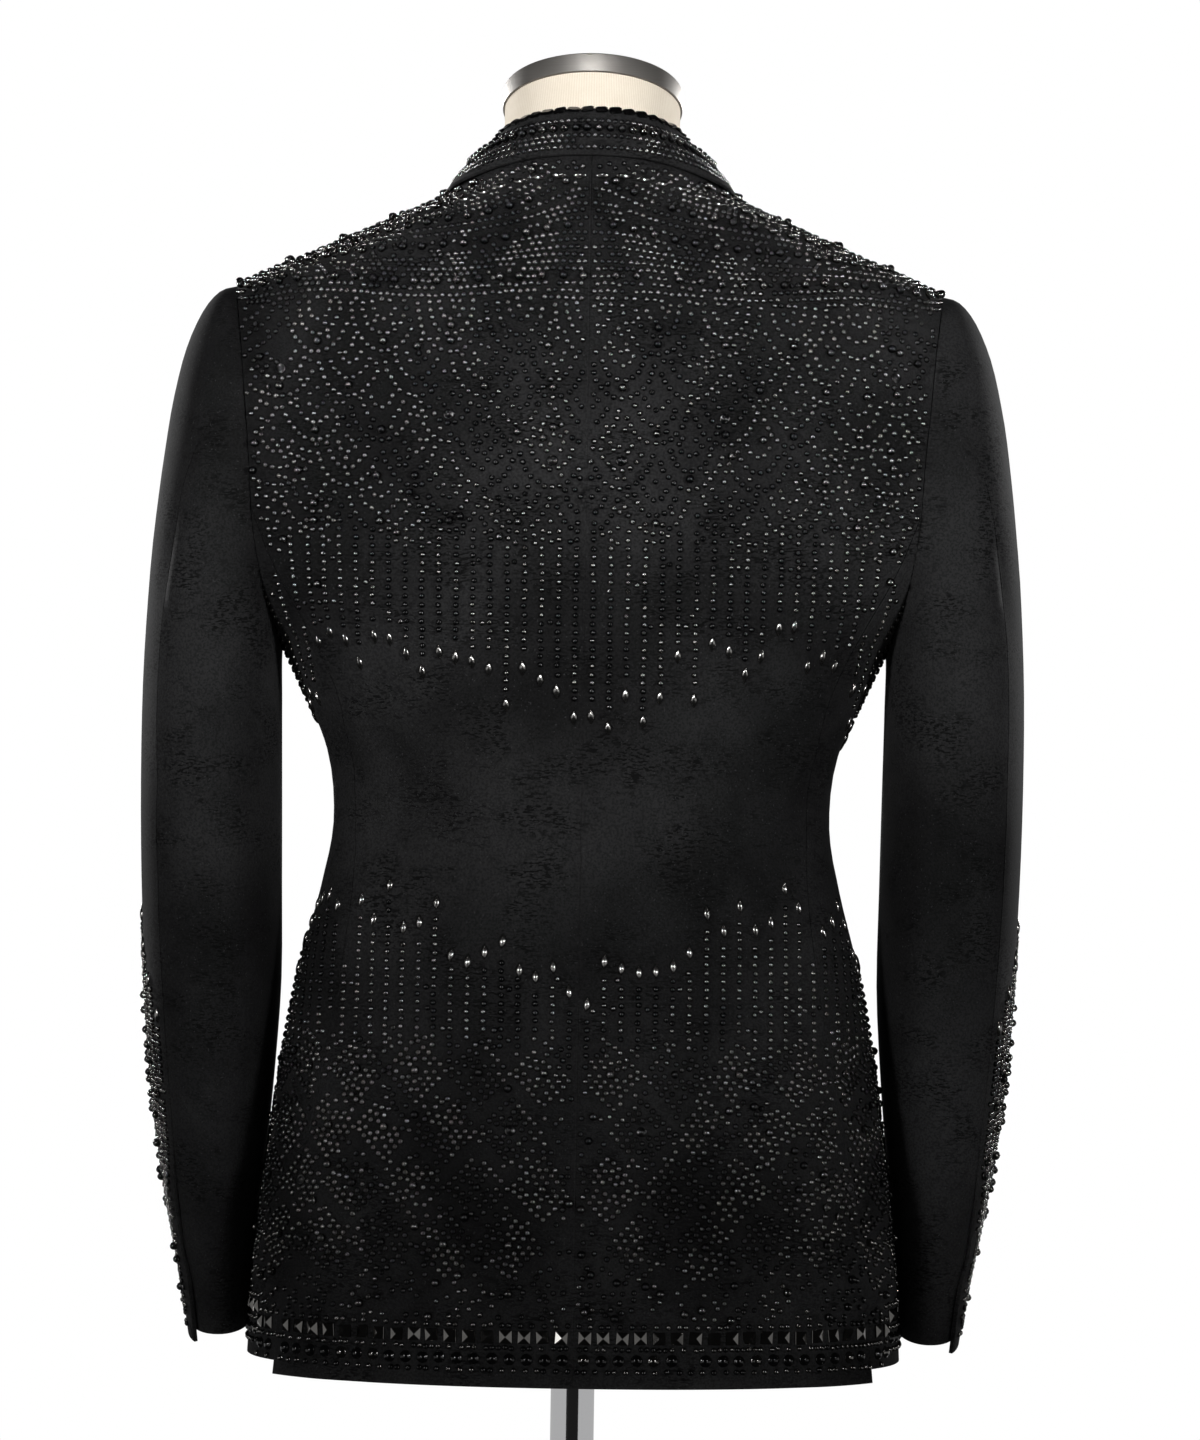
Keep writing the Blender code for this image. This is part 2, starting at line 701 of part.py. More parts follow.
# Collar stations from centre back to the notch: the fold's own points, and where the fall's edge
# lies on the jacket's back or front half.
COLLAR = named_rows(
    "foldX   foldY    foldZ   edgeX   edgeHeight inFront",
    (0.0000, 0.0590, 1.5585, 0.0000, 1.5290, False),
    (0.0160, 0.0572, 1.5578, 0.0185, 1.5285, False),
    (0.0310, 0.0505, 1.5558, 0.0370, 1.5265, False),
    (0.0440, 0.0385, 1.5520, 0.0540, 1.5225, False),
    (0.0530, 0.0225, 1.5475, 0.0700, 1.5175, False),
    (0.0580, 0.0030, 1.5420, 0.0845, 1.5115, False),
    (0.0593, -0.0070, 1.5380, 0.0896, 1.5080, True),
    (0.0600, -0.0180, 1.5325, 0.0940, 1.5020, True),
    (0.0605, -0.0360, 1.5200, 0.1000, 1.4860, True),
    (0.0600, -0.0575, 1.5030, 0.1055, 1.4640, True),
    (0.0580, -0.0755, 1.4840, 0.1100, 1.4400, True),
)
FOLD_TOP = 0.0004           # the fold's crest above its own points
FOLD_INNER_DROP = 0.0020    # where the stand bends into the fold, inside
FOLD_OUTER_DROP = 0.0018    # and outside
FOLD_LIP_DROP = 0.0032      # the slot between stand and fall ends this far below the crest
FOLD_SLOT = 0.0005          # width of that slot
COLLAR_LAY = 0.0017         # the fall and the lapels lie this far off the cloth below them
FOOT_GAP = 0.0008           # from the stand's foot to the panels
KNEE_GAP = 0.0024           # from the stand's foot to the fall that passes over it
FRONT_FOOT_DROP = 0.008     # in front the stand is this tall
LAPEL_CLEAR = 0.0040        # the right lapel stays this far from the left front's edge
PEAK_REACH = 0.008          # the peak's point leans out this much

# Lapel rows from the break to the peak: roll line and outer edge, seen from the front.
LAPEL = named_rows(
    "rollX    rollZ   outX    outZ",
    (-0.0165, 1.1720, -0.0080, 1.1740),
    (-0.0125, 1.1950, 0.0180, 1.2000),
    (-0.0020, 1.2450, 0.0520, 1.2500),
    (0.0090, 1.2950, 0.0790, 1.2980),
    (0.0215, 1.3450, 0.1020, 1.3420),
    (0.0340, 1.3900, 0.1230, 1.3800),
    (0.0430, 1.4250, 0.1420, 1.4180),
)
PEAK_TOP = named_rows(
    "share  rise",
    (0.00, 0.0300),
    (0.25, 0.0200),
    (0.50, 0.0070),
    (0.64, -0.0010),
    (0.80, 0.0060),
    (1.00, 0.0160),
)


def stand_foot(row):
    """Foot of the collar's stand: on the neck seam at the back, beside the roll line in front."""
    if not row["inFront"]:
        angle = angle_at(row["edgeX"], row["edgeHeight"], False)
        height = neck_height(NECK_BACK, angle)
        return body_point(angle, height) + Vector((0, 0, FOOT_GAP))
    height = row["foldZ"] - FRONT_FOOT_DROP
    x = at_height(FRONT_EDGE, height, "x") - FOOT_GAP
    angle = angle_at(x, height, True)
    return body_point(angle, height) + body_normal(angle, height) * FOOT_GAP


def collar_section(i):
    """Closed section of the folded collar at a station: foot, stand, fold, fall and back under."""
    row = COLLAR[i]
    fold = Vector((row["foldX"], row["foldY"], row["foldZ"]))
    angle = angle_at(row["edgeX"], row["edgeHeight"], row["inFront"])
    normal = body_normal(angle, row["edgeHeight"])
    under = body_point(angle, row["edgeHeight"]) + normal * COLLAR_LAY
    foot = stand_foot(row)
    rise = (fold - foot).normalized()
    out = (normal - rise * normal.dot(rise)).normalized()
    knee = foot + out * KNEE_GAP
    return [
        foot - out * CLOTH,
        fold - out * CLOTH - rise * FOLD_INNER_DROP,
        fold - out * CLOTH * 0.4 + rise * FOLD_TOP,
        fold + out * CLOTH * 0.6 + rise * FOLD_TOP,
        fold + out * (CLOTH + FOLD_TOP) - rise * FOLD_OUTER_DROP,
        knee + out * CLOTH,
        under + normal * CLOTH,
        under,
        knee,
        fold + out * FOLD_SLOT - rise * FOLD_LIP_DROP,
        fold - rise * FOLD_LIP_DROP,
        foot,
    ]


def collar(name, material):
    last = len(COLLAR) - 1
    sections = []
    for i in range(-last, last + 1):
        section = collar_section(abs(i))
        side = -1 if i < 0 else 1
        sections.append([Vector((p.x * side, p.y, p.z)) for p in section])
    count = len(sections[0])
    points = [point for section in sections for point in section]
    faces = [tuple(range(count))]
    for s in range(len(sections) - 1):
        for c in range(count):
            a = s * count + c
            b = s * count + (c + 1) % count
            faces.append((a, a + count, b + count, b))
    faces.append(tuple(reversed(range(len(points) - count, len(points)))))
    return finish(name, points, faces, material)


def lapel(side, name, material):
    columns = [row["share"] for row in PEAK_TOP]
    grid = []
    normals = []
    last = len(LAPEL) - 1
    for r, row in enumerate(LAPEL + [LAPEL[last]]):
        line = []
        line_normals = []
        for peak in PEAK_TOP:
            share = peak["share"]
            z = blend(row["rollZ"], row["outZ"], share)
            start = row["rollX"]
            if side < 0:
                start = max(start, LAPEL_CLEAR - at_height(FRONT_EDGE, z, "x"))
            x = blend(start, max(row["outX"], start + LAPEL_CLEAR), share)
            if r > last:
                z += peak["rise"]
                x += PEAK_REACH * share
            angle = angle_at(x, z, True)
            point, normal = front_surface(angle, z, side)
            line.append(point + normal * (COLLAR_LAY + CLOTH))
            line_normals.append(normal)
        grid.append(line)
        normals.append(line_normals)
    flipped = [row[::-1] for row in grid]
    return wall(name, flipped, [row[::-1] for row in normals], material, side)


# Dress form and stand -------------------------------------------------------------------------

def form_ring(height, half, back, front, square, count):
    ring = []
    for i in range(count):
        turn = 2 * math.pi * i / count
        c, s = rounded(turn, square)
        depth = back - FORM_MIDDLE if s > 0 else FORM_MIDDLE - front
        ring.append(Vector((half * c, FORM_MIDDLE + depth * s, height)))
    return ring


def rest_ring(height, count):
    """Ring of the form just inside the jacket's shoulders."""
    ring = []
    for i in range(count):
        turn = 2 * math.pi * i / count
        angle = math.pi / 2 - turn
        side = 1 if math.cos(turn) >= 0 else -1
        folded = angle if side > 0 else -angle
        folded = math.atan2(math.sin(folded), math.cos(folded))
        folded = folded % (2 * math.pi)
        loose = SHOULDER_END_EASE * (1 - ease((height - SHOULDER_RINGS[0]) / SHOULDER_EASE_RISE))
        point = body_point(folded, height) - body_normal(folded, height) * (CLOTH + FORM_REST + loose)
        x = shoulder_limited(point.x)
        ring.append(Vector((x * side, point.y, point.z)))
    return ring


def shoulder_limited(x):
    start = SHOULDER_END - SHOULDER_BEND
    return x if x < start else start + SHOULDER_BEND * math.tanh((x - start) / SHOULDER_BEND)


def dress_form(name, material):
    count = FORM_SEGMENTS
    rings = []
    low = FORM[0]
    for share, rise in FORM_UNDERSIDE:
        rings.append(form_ring(FORM_BOTTOM + rise, low["half"] * share, low["back"] * share,
                               low["front"] * share, low["square"], count))
    for row in FORM:
        rings.append(form_ring(row["height"], row["half"], row["back"], row["front"], row["square"], count))
    for height in SHOULDER_RINGS:
        rings.append(rest_ring(height, count))
    for row in NECK:
        center = Vector((0, row["middle"], row["height"]))
        rings.append(circle(center, row["radius"], count, NECK_TILT * row["tilt"]))
    return lofted(name, rings, material)


def neck_cap(name, material):
    up = Vector((0, -math.sin(NECK_TILT), math.cos(NECK_TILT)))
    bottom = NECK_TOP + up * GAP
    radius = NECK_RADIUS + CAP_OVERHANG
    steps = ((0.0, radius), (CAP_THICKNESS - CAP_BEVEL, radius), (CAP_THICKNESS, radius - CAP_BEVEL))
    rings = [circle(bottom + up * rise, r, FORM_SEGMENTS, NECK_TILT) for rise, r in steps]
    return lofted(name, rings, material, 25)


def turned(name, profile, material, count=40):
    """Upright turned solid from (radius, height) steps, bottom to top."""
    rings = [circle(Vector((0, 0, height)), radius, count) for radius, height in profile]
    return lofted(name, rings, material, 30)


def button(name, material):
    angle = angle_at(0.0, BUTTON_HEIGHT, True)
    normal = Vector((0, -1, 0))
    center = body_point(angle, BUTTON_HEIGHT) + normal * BUTTON_LAY
    rings = []
    for rise, share in BUTTON_STEPS:
        ring = []
        for i in range(24):
            turn = 2 * math.pi * i / 24
            flat = Vector((math.cos(turn), 0, math.sin(turn))) * BUTTON_RADIUS * share
            ring.append(center + normal * rise + flat)
        rings.append(ring)
    return lofted(name, rings, material)


def main():
    for old in list(bpy.data.objects):
        bpy.data.objects.remove(old, do_unlink=True)

    suiting = finish_material("black_suiting", (0.013, 0.013, 0.014), 0.85)
    satin = finish_material("black_satin", (0.010, 0.010, 0.011), 0.35)
    linen = finish_material("form_cloth", (0.76, 0.66, 0.52), 0.85)
    gunmetal = finish_material("cap_metal", (0.22, 0.21, 0.20), 0.32, 1.0)
    chrome = finish_material("pole_chrome", (0.75, 0.75, 0.76), 0.10, 1.0)
    steel = finish_material("base_steel", (0.45, 0.45, 0.46), 0.28, 1.0)

    for side, hand in ((1, "left"), (-1, "right")):
        back_panel(side, f"back_{hand}", suiting)
        side_panel(side, f"side_{hand}", suiting)
        front_panel(side, f"front_{hand}", suiting)
        sleeve_piece(side, f"sleeve_top_{hand}", suiting, True)
        sleeve_piece(side, f"sleeve_under_{hand}", suiting, False)
        lapel(side, f"lapel_{hand}", satin)
    collar("collar", suiting)
    button("front_button", satin)

    dress_form("form_torso", linen)
    neck_cap("neck_cap", gunmetal)
    pole_top = FORM_BOTTOM - GAP
    base_top = BASE_EDGE + BASE_RISE
    turned("pole", ((POLE_RADIUS, base_top + GAP), (POLE_RADIUS, pole_top)), chrome)
    bend, rise = BASE_MIDDLE
    turned("base", ((BASE_RADIUS, 0.0), (BASE_RADIUS, BASE_EDGE), (BASE_RADIUS * bend, BASE_EDGE + rise),
                    (BASE_RADIUS * BASE_CROWN, base_top)), steel)


main()
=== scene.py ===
# Beaded black tuxedo jacket on a limbless dress form, in the frame's metres with +Z up.
# The jacket's back faces +Y; angles round the body run from centre back (0) to centre front (pi).
import math

import bpy
import numpy as np
from mathutils import Matrix, Vector


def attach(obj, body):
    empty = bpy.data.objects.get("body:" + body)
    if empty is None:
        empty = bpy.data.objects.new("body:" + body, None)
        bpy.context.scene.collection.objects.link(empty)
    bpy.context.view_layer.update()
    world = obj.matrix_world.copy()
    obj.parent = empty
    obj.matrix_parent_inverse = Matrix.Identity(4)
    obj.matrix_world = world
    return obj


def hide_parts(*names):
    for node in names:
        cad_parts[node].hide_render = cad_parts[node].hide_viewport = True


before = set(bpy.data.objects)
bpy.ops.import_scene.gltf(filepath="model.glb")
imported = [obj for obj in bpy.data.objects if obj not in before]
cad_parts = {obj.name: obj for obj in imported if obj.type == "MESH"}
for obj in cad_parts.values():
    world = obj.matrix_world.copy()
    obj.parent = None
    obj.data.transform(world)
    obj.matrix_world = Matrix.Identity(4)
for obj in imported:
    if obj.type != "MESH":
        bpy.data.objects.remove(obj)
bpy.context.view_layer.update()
print("frame loaded")

cloth = {"thickness": 0.0020, "seamGap": 0.0, "seamRoll": 0.0005, "rollWidth": 0.10, "lap": 0.0028,
         "finer": 3}
hems = {"back": 0.784, "side": 0.792, "front": 0.776, "ventTop": 0.900, "ventFade": 0.030}
armhole = {"bottom": 1.232, "top": 1.451, "backY": 0.074, "frontY": -0.070, "square": 2.2,
           "step": 15, "backSeam": -15, "frontSeam": -150, "sleeveSeam": 15}
neck = {"back": 1.538, "sideDrop": 0.018, "slopeStart": 1.500}


def namedRows(columns, *rows):
    values = np.array(rows, dtype=float)
    return {name: values[:, i] for i, name in enumerate(columns.split())}


# Jacket sections: half width, back and front depth from the pole's axis, and how square each half is.
bodyRows = namedRows(
    "height half   back    front   middle  squareBack squareFront",
    (0.770, 0.2030, 0.1310, -0.1340, 0.0000, 2.25, 2.20),
    (0.850, 0.1985, 0.1280, -0.1310, 0.0000, 2.25, 2.20),
    (0.930, 0.1890, 0.1200, -0.1270, 0.0000, 2.25, 2.20),
    (0.985, 0.1815, 0.1110, -0.1240, 0.0000, 2.25, 2.20),
    (1.036, 0.1720, 0.1010, -0.1210, 0.0000, 2.25, 2.20),
    (1.085, 0.1597, 0.0915, -0.1180, 0.0000, 2.25, 2.20),
    (1.123, 0.1537, 0.0870, -0.1165, 0.0000, 2.25, 2.20),
    (1.160, 0.1570, 0.0890, -0.1170, 0.0000, 2.25, 2.20),
    (1.209, 0.1770, 0.0990, -0.1190, -0.0010, 2.27, 2.22),
    (1.232, 0.1880, 0.1035, -0.1200, -0.0020, 2.30, 2.25),
    (1.290, 0.2000, 0.1110, -0.1215, -0.0030, 2.32, 2.28),
    (1.340, 0.2080, 0.1135, -0.1200, -0.0040, 2.34, 2.30),
    (1.390, 0.2140, 0.1100, -0.1140, -0.0040, 2.36, 2.32),
    (1.430, 0.2175, 0.1010, -0.1020, -0.0040, 2.38, 2.34),
    (1.451, 0.2180, 0.0935, -0.0925, -0.0040, 2.40, 2.35),
    (1.458, 0.2045, 0.0908, -0.0890, -0.0038, 2.40, 2.35),
    (1.470, 0.1760, 0.0862, -0.0830, -0.0034, 2.38, 2.33),
    (1.482, 0.1485, 0.0816, -0.0770, -0.0028, 2.34, 2.28),
    (1.494, 0.1215, 0.0770, -0.0700, -0.0020, 2.28, 2.22),
    (1.504, 0.0995, 0.0734, -0.0640, -0.0010, 2.20, 2.15),
    (1.513, 0.0840, 0.0703, -0.0600, 0.0000, 2.12, 2.08),
    (1.524, 0.0735, 0.0670, -0.0570, 0.0000, 2.06, 2.04),
    (1.540, 0.0670, 0.0635, -0.0540, 0.0000, 2.00, 2.00),
)
armholeRows = namedRows(
    "height backX  frontX",
    (1.232, 0.1880, 0.1880),
    (1.262, 0.1965, 0.1870),
    (1.303, 0.2035, 0.1865),
    (1.342, 0.2060, 0.1885),
    (1.380, 0.2095, 0.1935),
    (1.420, 0.2135, 0.2040),
    (1.440, 0.2165, 0.2125),
    (1.451, 0.2180, 0.2180),
)
sideBackSeam = namedRows(
    "height x",
    (0.770, 0.1825),
    (0.900, 0.1690),
    (0.970, 0.1560),
    (1.038, 0.1445),
    (1.080, 0.1395),
    (1.123, 0.1385),
    (1.170, 0.1435),
    (1.210, 0.1550),
    (1.245, 0.1725),
    (1.275, 0.1890),
)
sideFrontSeam = namedRows(
    "height x",
    (0.770, 0.1760),
    (0.930, 0.1640),
    (1.036, 0.1480),
    (1.123, 0.1340),
    (1.180, 0.1440),
    (1.225, 0.1640),
)
frontEdge = namedRows(
    "height x",
    (0.770, 0.0900),
    (0.780, 0.0700),
    (0.800, 0.0430),
    (0.830, 0.0210),
    (0.880, 0.0030),
    (0.950, -0.0090),
    (1.040, -0.0160),
    (1.123, -0.0180),
    (1.165, -0.0180),
    (1.230, -0.0060),
    (1.330, 0.0170),
    (1.430, 0.0430),
    (1.490, 0.0630),
    (1.522, 0.0690),
)


def along(table, key, value, column):  # smooth value of a column, at a value of the key column
    keys = table[key]
    values = table[column]
    steps = np.diff(keys)
    slopes = np.diff(values) / steps
    inner = (slopes[:-1] * steps[1:] + slopes[1:] * steps[:-1]) / (steps[:-1] + steps[1:])
    tangents = np.concatenate([slopes[:1], inner, slopes[-1:]])
    value = np.clip(value, keys[0], keys[-1])
    low = np.clip(np.searchsorted(keys, value, side="right") - 1, 0, len(steps) - 1)
    step = steps[low]
    t = (value - keys[low]) / step
    start = (2 * t**3 - 3 * t**2 + 1) * values[low] + (t**3 - 2 * t**2 + t) * step * tangents[low]
    end = (3 * t**2 - 2 * t**3) * values[low + 1] + (t**3 - t**2) * step * tangents[low + 1]
    return start + end


def atHeight(table, height, column):
    return along(table, "height", height, column)


def ease(t):
    t = np.clip(t, 0.0, 1.0)
    return t * t * (3 - 2 * t)


def blend(a, b, t):
    return a + (b - a) * t


def rounded(angle, square):
    c = np.cos(angle)
    s = np.sin(angle)
    radius = (np.abs(c)**square + np.abs(s)**square) ** (-1 / square)
    return c * radius, s * radius


def unit(vectors):
    return vectors / np.linalg.norm(vectors, axis=-1, keepdims=True)


def stacked(x, y, z):
    return np.stack(np.broadcast_arrays(x, y, z), axis=-1).astype(float)


def refined(levels, parts):
    levels = np.array(levels, dtype=float)
    count = (len(levels) - 1) * parts + 1
    return np.interp(np.arange(count) / parts, np.arange(len(levels)), levels)


# The body's surface
def armholeReach(height):
    middle = (armhole["top"] + armhole["bottom"]) / 2
    share = np.abs(height - middle) / (armhole["top"] - middle)
    return np.maximum(0.0, 1 - np.minimum(1.0, share) ** armhole["square"]) ** (1 / armhole["square"])


def bodyCut(height, front):
    middle = atHeight(bodyRows, height, "middle")
    face = np.where(front, atHeight(bodyRows, height, "front"), atHeight(bodyRows, height, "back"))
    square = np.where(front, atHeight(bodyRows, height, "squareFront"),
                      atHeight(bodyRows, height, "squareBack"))
    depth = np.abs(face - middle)
    half = atHeight(bodyRows, height, "half")
    edge = np.where(front, armhole["frontY"], armhole["backY"])
    share = np.abs(edge - middle) * armholeReach(height) / depth
    share = np.minimum(share, 0.999)
    edgeX = np.where(front, atHeight(armholeRows, height, "frontX"), atHeight(armholeRows, height, "backX"))
    inArmhole = (height > armhole["bottom"]) & (height < armhole["top"])
    half = np.where(inArmhole, edgeX / (1 - share**square) ** (1 / square), half)
    return half, depth, middle, square


def bodyPoint(angle, height):
    half, depth, middle, square = bodyCut(height, np.cos(angle) < 0)
    c, s = rounded(angle, square)
    return stacked(half * s, middle + depth * c, height)


def angleAt(x, height, front):
    half, depth, middle, square = bodyCut(height, front)
    share = np.clip(x / half, -1.0, 1.0)
    other = (1 - np.abs(share)**square) ** (1 / square)
    return np.arctan2(share, np.where(front, -other, other)) % (2 * math.pi)


def armholeAngle(height, front):
    half, depth, middle, square = bodyCut(height, front)
    edge = np.where(front, armhole["frontY"], armhole["backY"])
    share = np.abs(edge - middle) * armholeReach(height) / depth
    other = (1 - share**square) ** (1 / square)
    return np.arctan2(other, np.where(front, -share, share))


def bodyNormal(angle, height):
    small = 0.0005
    turn = 0.004
    up = bodyPoint(angle, height + small) - bodyPoint(angle, height - small)
    onward = bodyPoint(angle + turn, height) - bodyPoint(angle - turn, height)
    return unit(np.cross(up, onward))


def stationHeight(degrees):
    middle = (armhole["top"] + armhole["bottom"]) / 2
    c, s = rounded(np.radians(degrees), armhole["square"])
    return middle + (armhole["top"] - middle) * s


def seamAngle(table, height, front, station):
    top = float(stationHeight(station))
    topX = float(bodyPoint(armholeAngle(top, front), top)[..., 0])
    closed = {"height": np.append(table["height"], top), "x": np.append(table["x"], topX)}
    return angleAt(atHeight(closed, height, "x"), height, front)


# Soft creases, as troughs (+) and ridges (-) in metres of depth. Each runs between two points given by
# degrees round the body and height, and fades out over its width and towards its ends.
bodyCreases = {
    "left": (
        (62, 1.215, 38, 1.150, 0.012, 0.0016),
        (70, 1.180, 48, 1.118, 0.010, 0.0013),
        (66, 1.196, 44, 1.133, 0.009, -0.0008),
        (30, 1.128, 66, 1.104, 0.008, 0.0010),
        (14, 1.142, 46, 1.124, 0.009, 0.0006),
        (58, 1.020, 68, 0.850, 0.020, 0.0014),
        (28, 0.960, 24, 0.830, 0.024, 0.0010),
        (52, 1.395, 34, 1.335, 0.016, 0.0011),
        (118, 1.210, 142, 1.150, 0.012, 0.0017),
        (112, 1.176, 138, 1.138, 0.009, 0.0012),
        (150, 1.180, 168, 1.148, 0.010, 0.0012),
        (148, 1.100, 170, 1.132, 0.011, 0.0014),
        (136, 1.020, 128, 0.850, 0.022, 0.0013),
        (96, 1.150, 84, 1.090, 0.010, 0.0009),
    ),
    "right": (
        (60, 1.208, 36, 1.158, 0.011, 0.0014),
        (72, 1.172, 50, 1.110, 0.011, 0.0015),
        (67, 1.190, 46, 1.126, 0.009, -0.0009),
        (26, 1.116, 64, 1.098, 0.009, 0.0011),
        (12, 1.134, 40, 1.112, 0.010, 0.0007),
        (60, 1.000, 66, 0.840, 0.022, 0.0012),
        (34, 0.950, 30, 0.850, 0.020, 0.0011),
        (50, 1.382, 36, 1.318, 0.015, 0.0010),
        (120, 1.204, 140, 1.142, 0.011, 0.0015),
        (114, 1.168, 136, 1.128, 0.010, 0.0013),
        (152, 1.176, 166, 1.140, 0.010, 0.0010),
        (150, 1.092, 168, 1.126, 0.011, 0.0015),
        (134, 1.000, 130, 0.840, 0.020, 0.0014),
        (94, 1.140, 86, 1.084, 0.010, 0.0010),
    ),
}


def creaseDepth(rows, across, upward):  # both in metres
    depth = np.zeros(np.broadcast(across, upward).shape)
    for startX, startZ, endX, endZ, width, trough in rows:
        run = np.array([endX - startX, endZ - startZ])
        length = np.hypot(*run)
        t = ((across - startX) * run[0] + (upward - startZ) * run[1]) / length**2
        away = np.abs((across - startX) * run[1] - (upward - startZ) * run[0]) / length
        fade = ease(t / 0.35) * ease((1 - t) / 0.45)
        depth += trough * fade * np.exp(-(away / width) ** 2)
    return depth


creaseScale = {"body": 0.0031, "sleeve": 0.0011}  # metres for each degree round


def creased(creases, side, degrees, height, metresPerDegree):
    rows = [(startTurn * metresPerDegree, startZ, endTurn * metresPerDegree, endZ, width, trough)
            for startTurn, startZ, endTurn, endZ, width, trough in creases["left" if side > 0 else "right"]]
    return creaseDepth(rows, degrees * metresPerDegree, height)


def bodyCrease(angle, height, side):
    return creased(bodyCreases, side, np.degrees(angle), height, creaseScale["body"])


# Meshes
def meshPiece(name, points, faces, material, smooth=40, side=1):
    points = np.array(points, dtype=float).reshape(-1, 3)
    faces = [tuple(face) for face in faces]
    if side < 0:
        points = points * np.array([-1.0, 1.0, 1.0])
        faces = [face[::-1] for face in faces]
    mesh = bpy.data.meshes.new(name)
    mesh.from_pydata(points.tolist(), [], faces)
    mesh.shade_smooth()
    mesh.set_sharp_from_angle(angle=math.radians(smooth))
    mesh.materials.append(material)
    piece = bpy.data.objects.new(name, mesh)
    bpy.context.collection.objects.link(piece)
    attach(piece, "root")
    return piece


def edged(steps):  # the steps with one more close to each end, where the cloth turns into its seam
    near = cloth["rollWidth"]
    return np.concatenate([steps[:1], blend(steps[:1], steps[1:2], near), steps[1:-1],
                           blend(steps[-1:], steps[-2:-1], near), steps[-1:]])


def trimmed(grid, normals):  # edges drawn in by half a seam's gap and rolled under
    gap = cloth["seamGap"] / 2
    result = grid.copy()
    for edge in (0, -1):
        result[:, edge] -= normals[:, edge] * cloth["seamRoll"]
        result[edge, 1:-1] -= normals[edge, 1:-1] * cloth["seamRoll"]
    for edge, inner in ((0, 1), (-1, -2)):
        result[:, edge] += unit(grid[:, inner] - grid[:, edge]) * gap
    for edge, inner in ((0, 1), (-1, -2)):
        result[edge] += unit(grid[inner] - grid[edge]) * gap
    return result


def clothWall(name, grid, normals, material, side):
    outer = trimmed(grid, normals)
    rows, columns = outer.shape[:2]
    points = np.concatenate([outer.reshape(-1, 3), (outer - normals * cloth["thickness"]).reshape(-1, 3)])
    index = np.arange(rows * columns).reshape(rows, columns)
    a = index[:-1, :-1].ravel()
    back = rows * columns
    outside = np.stack([a, a + columns, a + columns + 1, a + 1], axis=1)
    inside = outside[:, ::-1] + back
    rim = np.concatenate([index[0], index[1:, -1], index[-1, -2::-1], index[-2:0:-1, 0]])
    following = np.roll(rim, -1)
    edge = np.stack([rim, following, following + back, rim + back], axis=1)
    faces = np.concatenate([outside, inside, edge]).tolist()
    piece = meshPiece(name, points, faces, material, side=side)
    piece.data.materials.append(lining)
    slots = np.zeros(len(faces), dtype=np.int32)
    slots[len(outside):len(outside) + len(inside)] = 1
    piece.data.polygons.foreach_set("material_index", slots)
    return piece


lowLevels = [0.802, 0.822, 0.850, 0.880, 0.900, 0.930, 0.965, 1.000, 1.036, 1.070, 1.100, 1.130, 1.165,
             1.205, 1.240, 1.272]
levelBend = 1.165
shoulderLevels = [1.456, 1.463, 1.471, 1.480, 1.489, 1.498, 1.506, 1.514, 1.523, neck["back"]]


def neckHeight(level, angle):
    share = (level - neck["slopeStart"]) / (neck["back"] - neck["slopeStart"])
    return level - neck["sideDrop"] * ease(share) * np.sin(angle) ** 2


def ventLift(height, reach):
    down = ease((hems["ventTop"] + hems["ventFade"] - height) / hems["ventFade"])
    return cloth["lap"] * down * (1 - ease((reach - 0.025) / 0.025))


def panelEdge(seamRows, height, front, station):  # up the side seam, round the armhole, along the shoulder
    seam = seamAngle(seamRows, height, front, station)
    opening = armholeAngle(np.minimum(height, armhole["top"]), front)
    low = height < stationHeight(station) - 1e-6
    return np.where(low, seam, np.where(height < armhole["top"] - 1e-6, opening, math.pi / 2))


def backEdge(height):
    return panelEdge(sideBackSeam, height, False, armhole["backSeam"])


def backSurface(angle, height, side):
    point = bodyPoint(angle, height)
    normal = bodyNormal(angle, height)
    edgeX = bodyPoint(backEdge(height), height)[..., 0]
    lift = ventLift(height, edgeX - point[..., 0]) - bodyCrease(angle, height, side)
    return point + normal * lift[..., None], normal


def backPanel(side, name, material):
    stations = [armhole["backSeam"] + armhole["step"] * i for i in range(8)]
    levels = [hems["back"]] + lowLevels + [float(stationHeight(s)) for s in stations] + shoulderLevels
    level = edged(refined(levels, cloth["finer"]))[:, None]
    share = edged(refined(np.linspace(0, 1, 10), cloth["finer"]))[None, :]
    angle = backEdge(level) * share
    grid, normals = backSurface(angle, neckHeight(level, angle), side)
    return clothWall(name, grid, normals, material, side)


def sideHeight(level, top):
    backTop = float(stationHeight(armhole["backSeam"]))
    raised = levelBend + (level - levelBend) * (top - levelBend) / (backTop - levelBend)
    return np.where(level <= levelBend, level, raised)


def sideSeams(height):
    backTop = float(stationHeight(armhole["backSeam"]))
    frontTop = float(stationHeight(armhole["frontSeam"]))
    start = seamAngle(sideBackSeam, np.minimum(height, backTop), False, armhole["backSeam"])
    end = seamAngle(sideFrontSeam, np.minimum(height, frontTop), True, armhole["frontSeam"])
    return start, end


